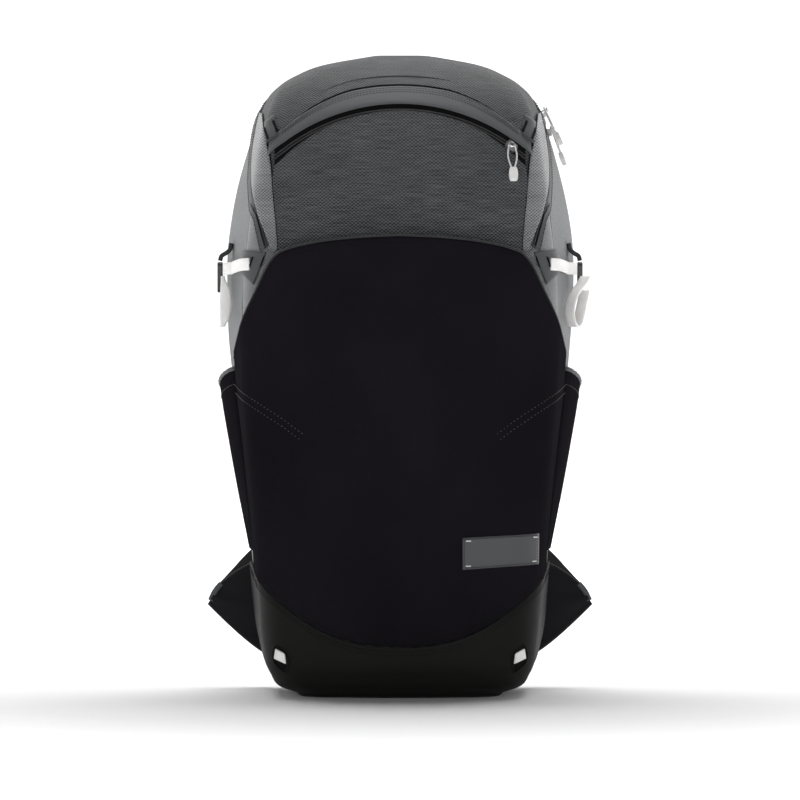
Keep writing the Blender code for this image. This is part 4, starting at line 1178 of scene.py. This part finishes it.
def build_tail(side, sign):
    """The strap's folded end, which hangs in a loop. The left one turns edge on at its top and its fold."""
    (lean, ahead), foot_x = ((0.05, 0.999), 141.9) if side == "left" else ((0.5, 0.866), 138.2)
    loop = [(sign * (foot_x + lean * back), TAIL_FOOT_Y + ahead * back, z) for back, z in TAIL]
    path = curve_through(loop, 60)
    width = WHITE_WEB * 0.92
    if side == "left":
        width = np.interp(path[:, 2], TAIL_HEIGHTS, TAIL_WIDTHS)
        path[:, 0] = -np.interp(path[:, 2], TAIL_HEIGHTS, TAIL_OUT)
    tail = band(f"tail_piece_{side}", path, (sign * ahead, -lean, 0), width, WEB_THICK, "white_webbing")
    place(tail, "pack", "white_webbing", f"strap_tail_{side}")


# ------------------------------------------------------------------ the back

BACK, BOOT_BACK = 76.0, 79.1
CHANNEL_WIDTH, CHANNEL_DEPTH = 3.2, 2.6
BACK_PAD = ((16, 134), (82, 134), (82, 430), (16, 430))
LUMBAR_PAD = ((-84, 38), (84, 38), (84, 120), (-84, 120))
YOKE = ((-77, 441), (77, 441), (65, 467), (-65, 467))
HANDLE = ((-47, 78.9, 478), (-38, 79.9, 478.5), (-30, 86, 479), (-17, 99, 480), (0, 103, 480.5), (17, 99, 480),
          (30, 86, 479), (38, 79.9, 478.5), (47, 78.9, 478))


def ring_stack(name, rings, material):
    """A closed solid from rings of points, with its ends filled by fans."""
    rows, m = np.shape(rings)[:2]
    points = np.vstack([*rings, np.mean(rings[0], axis=0), np.mean(rings[-1], axis=0)])
    faces = grid_faces(rows, m, closed=True) + fan(rows * m, 0, m, back=True) + fan(rows * m + 1, (rows - 1) * m, m)
    return add_object(name, points, faces, points[:, [0, 2]], material)


def face_out(obj):
    made = bmesh.new()
    made.from_mesh(obj.data)
    bmesh.ops.recalc_face_normals(made, faces=made.faces)
    made.to_mesh(obj.data)
    made.free()


def corners_of(obj):
    return np.array([v.co for v in obj.data.vertices])


def swell(obj, frames=20):
    """Blows a closed form up by a short cloth run."""
    cloth = obj.modifiers.new("cloth", "CLOTH")
    settings = {"quality": 6, "use_pressure": True, "uniform_pressure_force": 4, "tension_stiffness": 12,
                "compression_stiffness": 12, "shear_stiffness": 5, "bending_stiffness": 2.5, "mass": 0.25}
    for key, value in settings.items():
        setattr(cloth.settings, key, value)
    cloth.settings.effector_weights.gravity = 0
    cloth.point_cache.frame_start, cloth.point_cache.frame_end = 1, frames
    for frame_number in range(1, frames + 1):
        scene.frame_set(frame_number)
    apply_modifiers(obj)
    scene.frame_set(1)


def inflate(obj, voxel, cap, behind=None):
    """Swells a stuffed pad, capped in how far any point may move and kept behind a plane."""
    face_out(obj)
    remesh = obj.modifiers.new("voxels", "REMESH")
    remesh.mode, remesh.voxel_size, remesh.use_smooth_shade = "VOXEL", voxel * MM, True
    apply_modifiers(obj)
    start = corners_of(obj)
    swell(obj)
    move = corners_of(obj) - start
    length = np.linalg.norm(move, axis=1, keepdims=True)
    points = start + move * np.minimum(1.0, cap * MM / np.maximum(length, 1e-9))
    if behind is not None:
        points[:, 1] = np.maximum(points[:, 1], behind * MM)
    obj.data.vertices.foreach_set("co", points.ravel())
    fine = obj.modifiers.new("fine", "SUBSURF")
    fine.levels = fine.render_levels = 1
    apply_modifiers(obj)
    obj.data.shade_smooth()


def block_rings(outline, y0, y1, round_edge, steps=4):
    """Rings of a pillow-like block: an x, z outline, swept in y with rounded edges."""
    turns = [math.radians(90 * k / steps) for k in range(steps + 1)]
    low = [(y0 + round_edge * (1 - math.cos(a)), round_edge * (1 - math.sin(a))) for a in turns]
    high = [(y1 - (y - y0), inset) for y, inset in reversed(low)]
    outward = np.sign(outline - outline.mean(0))
    rings = []
    for y, inset in low + high:
        x, z = (outline - outward * inset).T
        rings.append(np.column_stack([x, np.full(len(x), y), z]))
    return rings


def rounded_outline(corners, radius, steps=5, spacing=9):
    """A closed outline with rounded corners and points along its straight runs."""
    corners = np.asarray(corners, float)
    made = []
    for i, corner in enumerate(corners):
        before, after = corners[i - 1], corners[(i + 1) % len(corners)]
        start, end = corner + unit(before - corner) * radius, corner + unit(after - corner) * radius
        made += [(1 - t) ** 2 * start + 2 * t * (1 - t) * corner + t**2 * end for t in np.linspace(0, 1, steps)]
    dense = []
    for i, p in enumerate(made):
        q = made[(i + 1) % len(made)]
        n = max(1, int(np.linalg.norm(q - p) / spacing))
        dense += [p + (q - p) * k / n for k in range(n)]
    return np.array(dense)


def channel(obj, base, heights=(), places=()):
    """Presses sewn channels into a pad, across it at some heights or down it at some places."""
    points = corners_of(obj) / MM
    push = np.zeros(len(points))
    for axis, middles in ((2, heights), (0, places)):
        for middle in middles:
            push = np.maximum(push, np.exp(-(((points[:, axis] - middle) / CHANNEL_WIDTH) ** 2)))
    points[:, 1] -= push * np.clip((points[:, 1] - base) / 4.0, 0, 1) * CHANNEL_DEPTH
    obj.data.vertices.foreach_set("co", (points * MM).ravel())
    obj.data.update()


def pad(name, corners, radius, y0, y1, edge, cap, material="mesh_pad", voxel=5.0):
    obj = ring_stack(name, block_rings(rounded_outline(corners, radius), y0, y1, edge), material)
    inflate(obj, voxel, cap, y0)
    return obj


def build_back():
    """The foam pads, the yoke and the handle."""
    for side, sign in SIDES:
        corners = [(sign * x, z) for x, z in BACK_PAD]
        obj = pad(f"back_pad_piece_{side}", corners, 14, BACK + 0.6, BACK + 9.5, 4.0, 3.2)
        channel(obj, BACK + 4.0, heights=(194, 253, 312, 371))
        place(obj, "pack", "padding", f"back_pad_{side}")
    obj = pad("lumbar_pad_piece", LUMBAR_PAD, 16, BOOT_BACK + 0.3, BACK + 14.0, 4.5, 3.2)
    channel(obj, BACK + 6.0, places=(-42, 42))
    place(obj, "pack", "padding", "lumbar_pad")
    obj = pad("yoke_piece", YOKE, 8, BACK + 0.6, BACK + 8.4, 3.0, 1.5, "wing", 4.0)
    place(obj, "pack", "black_webbing", "shoulder_yoke")
    handle = band("handle_piece", curve_through(HANDLE, 70), (0, 0, 1), 16, 2.6, "black_webbing")
    place(handle, "handle", "black_webbing", "haul_handle")


STRAP_PATH = ((46, 91.5, 450), (46.5, 104, 436), (48, 111, 415), (52, 112, 380), (57, 112, 340), (67, 110, 290),
              (80, 106, 240), (91, 101, 195), (97, 98, 163))
STRAP_SIZES = ((64, 9), (62, 11), (60, 12), (60, 12), (58, 12), (54, 11), (48, 10), (40, 9), (32, 7))


def build_shoulder_strap(side, sign):
    """One padded shoulder strap, with webbing down its outer face and bound edges."""
    count = 40
    path = curve_through([(sign * x, y, z) for x, y, z in STRAP_PATH], count)
    width, thick = curve_through(STRAP_SIZES, count).T[..., None]
    along = tangents(path)
    wide = unit(np.array((1.0, 0, 0)) - along * along[:, :1])
    up = np.cross(along, wide)
    turns = np.radians(np.arange(0, 360, 18))
    c, d = np.cos(turns), np.sin(turns)
    across = np.sign(c) * np.abs(c) ** 0.55 * (width - 3.0) / 2
    out = np.sign(d) * np.abs(d) ** 0.7 * (thick - 3.2) / 2
    rings = path[:, None] + across[..., None] * wide[:, None] + out[..., None] * up[:, None]
    obj = ring_stack(f"shoulder_strap_piece_{side}", rings, "mesh_pad")
    inflate(obj, 4.0, 1.6)
    place(obj, "pack", "padding", f"shoulder_strap_{side}")
    face = path + up * np.sign(up[:, 1:2]) * (thick / 2 + 0.25)
    web = band(f"strap_webbing_{side}", face[4:-3], (1, 0, 0), 15, 1.0, "black_webbing")
    place(web, "pack", "padding")
    for k, edge in enumerate((-1, 1)):
        line = path + wide * (edge * (width / 2 - 0.6))
        place(bead(f"strap_binding_{side}_{k + 1}", line[2:-1], 1.7, "strap_edge"), "pack", "padding")


LOCK_BAR = np.array((98.0, 98.5, 133.0))
WEB_ON_WING = BOOT_BACK + 2.7 + WEB_THICK / 2
# The adjuster's webbing: up the wing, round the ladder lock's bar, then down again
WEB_UP = ((150.5, WEB_ON_WING, 73.5), (142, WEB_ON_WING, 82.5), (134, WEB_ON_WING + 0.3, 91), (120, 86.5, 106),
          (105, 91.9, 118), (98.6, 93.9, 126.5))
WEB_DOWN = ((101, 103.7, 120), (102, 103.9, 108), (102.5, 103.5, 94))
BAR_WRAP = 4.3


def build_adjuster(side, sign):
    """The webbing from the wing through the ladder lock to its free end."""
    x, y, z = LOCK_BAR
    turns = np.radians((180, 150, 120, 90, 60, 30, 0))
    wrap = [(x + 0.25 * k, y + BAR_WRAP * math.cos(a), z + BAR_WRAP * math.sin(a)) for k, a in enumerate(turns)]
    path = curve_through([(sign * x, y, z) for x, y, z in (*WEB_UP, *wrap, *WEB_DOWN)], 90)
    wide = [(0.74, 0, 0.67)] * 4 + [(0.88, 0, 0.4)] + [(1, 0, 0)] * 11
    across = curve_through([(sign * x, y, z) for x, y, z in wide], 90)
    web = band(f"adjuster_piece_{side}", path, across, HARNESS_WEB * 0.92, WEB_THICK, "black_webbing")
    place(web, "pack", "black_webbing", f"adjuster_webbing_{side}")


# The wing's upper and lower edges, each from its root over a bend to its tip
WING_UPPER = ((98.0, 108.0), (127.0, 107.5), (151.5, 83.5))
WING_LOWER = ((98.0, 24.0), (113.0, 22.0), (160.0, 70.0))
WING_HEM = ((149.2, 86.2), (154.5, 79.6), (158.2, 72.0))


def build_wing(side, sign):
    """The soft triangle that joins the harness webbing to the base, creased towards its tip."""
    u, v = np.linspace(0, 1, 34)[None, :], np.linspace(0, 1, 26)[:, None]
    bend = np.stack([(1 - u) ** 2, 2 * u * (1 - u), u**2], axis=-1)
    x, z = np.moveaxis(bend @ WING_LOWER * (1 - v)[..., None] + bend @ WING_UPPER * v[..., None], -1, 0)
    crease = 0.88 * np.sin(v * 9.0 + 1.5 * u) * u * np.sin(np.pi * v) + 0.64 * np.sin(v * 17 + 3 * u) * u * (1 - u)
    points = np.stack([sign * x, BOOT_BACK + 1.7 + crease, z], axis=-1)
    tip = points[0, -1, 1]
    if sign > 0:
        points = points[:, ::-1]
    piece = grid_object(f"wing_piece_{side}", points, np.stack([x, z], axis=-1), "wing", 1.8)
    place(piece, "pack", "black_webbing", f"strap_wing_{side}")
    for k, line in enumerate((points[0], points[-1])):
        place(bead(f"wing_binding_{side}_{k + 1}", line, 1.25, "strap_edge"), "pack", "black_webbing")
    hem = curve_through([(sign * x, tip, z) for x, z in WING_HEM], 24)
    place(band(f"wing_hem_{side}", hem, (sign * 0.79, 0, 0.61), 4.6, 4.4, "trim"), "pack", "black_webbing")


STERNUM_Y, STERNUM_Z = 129.0, 388.0


def build_sternum():
    """The two lengths of webbing that meet at the sternum buckle."""
    for side, body, start, end in (("left", "sternum_left", -58, -18.3), ("right", "sternum_plug", 31.3, 58)):
        path = [(x, STERNUM_Y, STERNUM_Z) for x in np.linspace(start, end, 24)]
        web = band(f"sternum_web_piece_{side}", path, (0, 0, 1), 15.4, WEB_THICK, "black_webbing")
        place(web, body, "black_webbing", f"sternum_webbing_{side}")


SLEEVE_HALF, SLEEVE_LOW, SLEEVE_HIGH = 94.0, 26.0, 333.0
SLEEVE_FRONT, SLEEVE_BACK, SLEEVE_THICK = 52.2, 66.8, 2.4


def build_sleeve():
    """The padded laptop sleeve on the inside of the back."""
    run = np.linspace(-SLEEVE_HALF, SLEEVE_HALF, 60)
    x, z = np.meshgrid(run, np.linspace(SLEEVE_LOW, SLEEVE_HIGH, 60))
    rim = np.minimum(SLEEVE_HALF - np.abs(x), np.minimum(z - SLEEVE_LOW, SLEEVE_HIGH - z))
    edge = np.clip(rim / 10, 0, 1) ** 0.5
    sheets = []
    for y, bow in ((SLEEVE_FRONT + 1.6, -1.0), (SLEEVE_BACK - 1.6, 0.4)):
        points = np.stack([x, y + bow * edge + 0.3 * np.sin(x * 0.11) * np.sin(z * 0.05), z], axis=-1)
        sheet = grid_object("sleeve_sheet", points, np.stack([x, z], axis=-1), "stretch", SLEEVE_THICK, 0)
        sheets.append(sheet)
    place(join("sleeve_piece", sheets), "pack", "padding", "laptop_sleeve")
    binding = bead("sleeve_binding", [(x, SLEEVE_FRONT + 0.7, SLEEVE_HIGH) for x in run], 1.8, "strap_edge")
    place(binding, "pack", "padding")


# A finish, its slot, whether its edges are rounded, and the starts of the names of the CAD nodes that have it
FINISHES = (
    ("black_plastic", "black_plastic", True,
     ("compression_buckle", "ladder_lock", "sternum_rail", "sternum_slider", "sternum_buckle")),
    ("metal", "zip_metal", True, ("main_zip_front_slider", "main_zip_rear_slider", "pocket_zip_slider")),
    ("cord", "puller_cord", False,
     ("main_zip_front_puller_cord", "main_zip_rear_puller_cord", "pocket_puller_cord")),
    ("cap", "puller_cap", True, ("main_zip_front_puller_cap", "main_zip_rear_puller_cap", "pocket_puller_cap")),
    ("board", "frame_board", False, ("frame_sheet",)),
    ("stay", "frame_stay", False, ("frame_stay",)),
)
EDGE_ROUND = 0.35


def finish_cad_nodes():
    """Better materials, and rounded edges where they show, for the CAD parts that stay."""
    for name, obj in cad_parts.items():
        for finish, slot, rounded, starts in FINISHES:
            if not name.startswith(starts):
                continue
            obj.data.materials.clear()
            obj.data.materials.append(MATERIALS[finish])
            if rounded:
                bevel = obj.modifiers.new("edges", "BEVEL")
                bevel.width, bevel.segments, bevel.limit_method = EDGE_ROUND * MM, 2, "ANGLE"
                bevel.angle_limit = math.radians(40)


build_body()
build_fold()
build_boot()
for side, sign in SIDES:
    build_gear_tab(side, sign)
build_front_panel()
build_label()
for side, sign in SIDES:
    build_side_pocket(side, sign)
build_main_zip()
build_lid()
for side, sign in SIDES:
    build_lid_strip(side, sign)
build_lid_pocket()
build_flap()
for side, sign in SIDES:
    build_lash_patch(side, sign)
for side, sign in SIDES:
    for build in (build_side_patch, build_side_strap, build_tail, build_shoulder_strap, build_wing, build_adjuster):
        build(side, sign)
build_back()
build_sternum()
build_sleeve()
finish_cad_nodes()
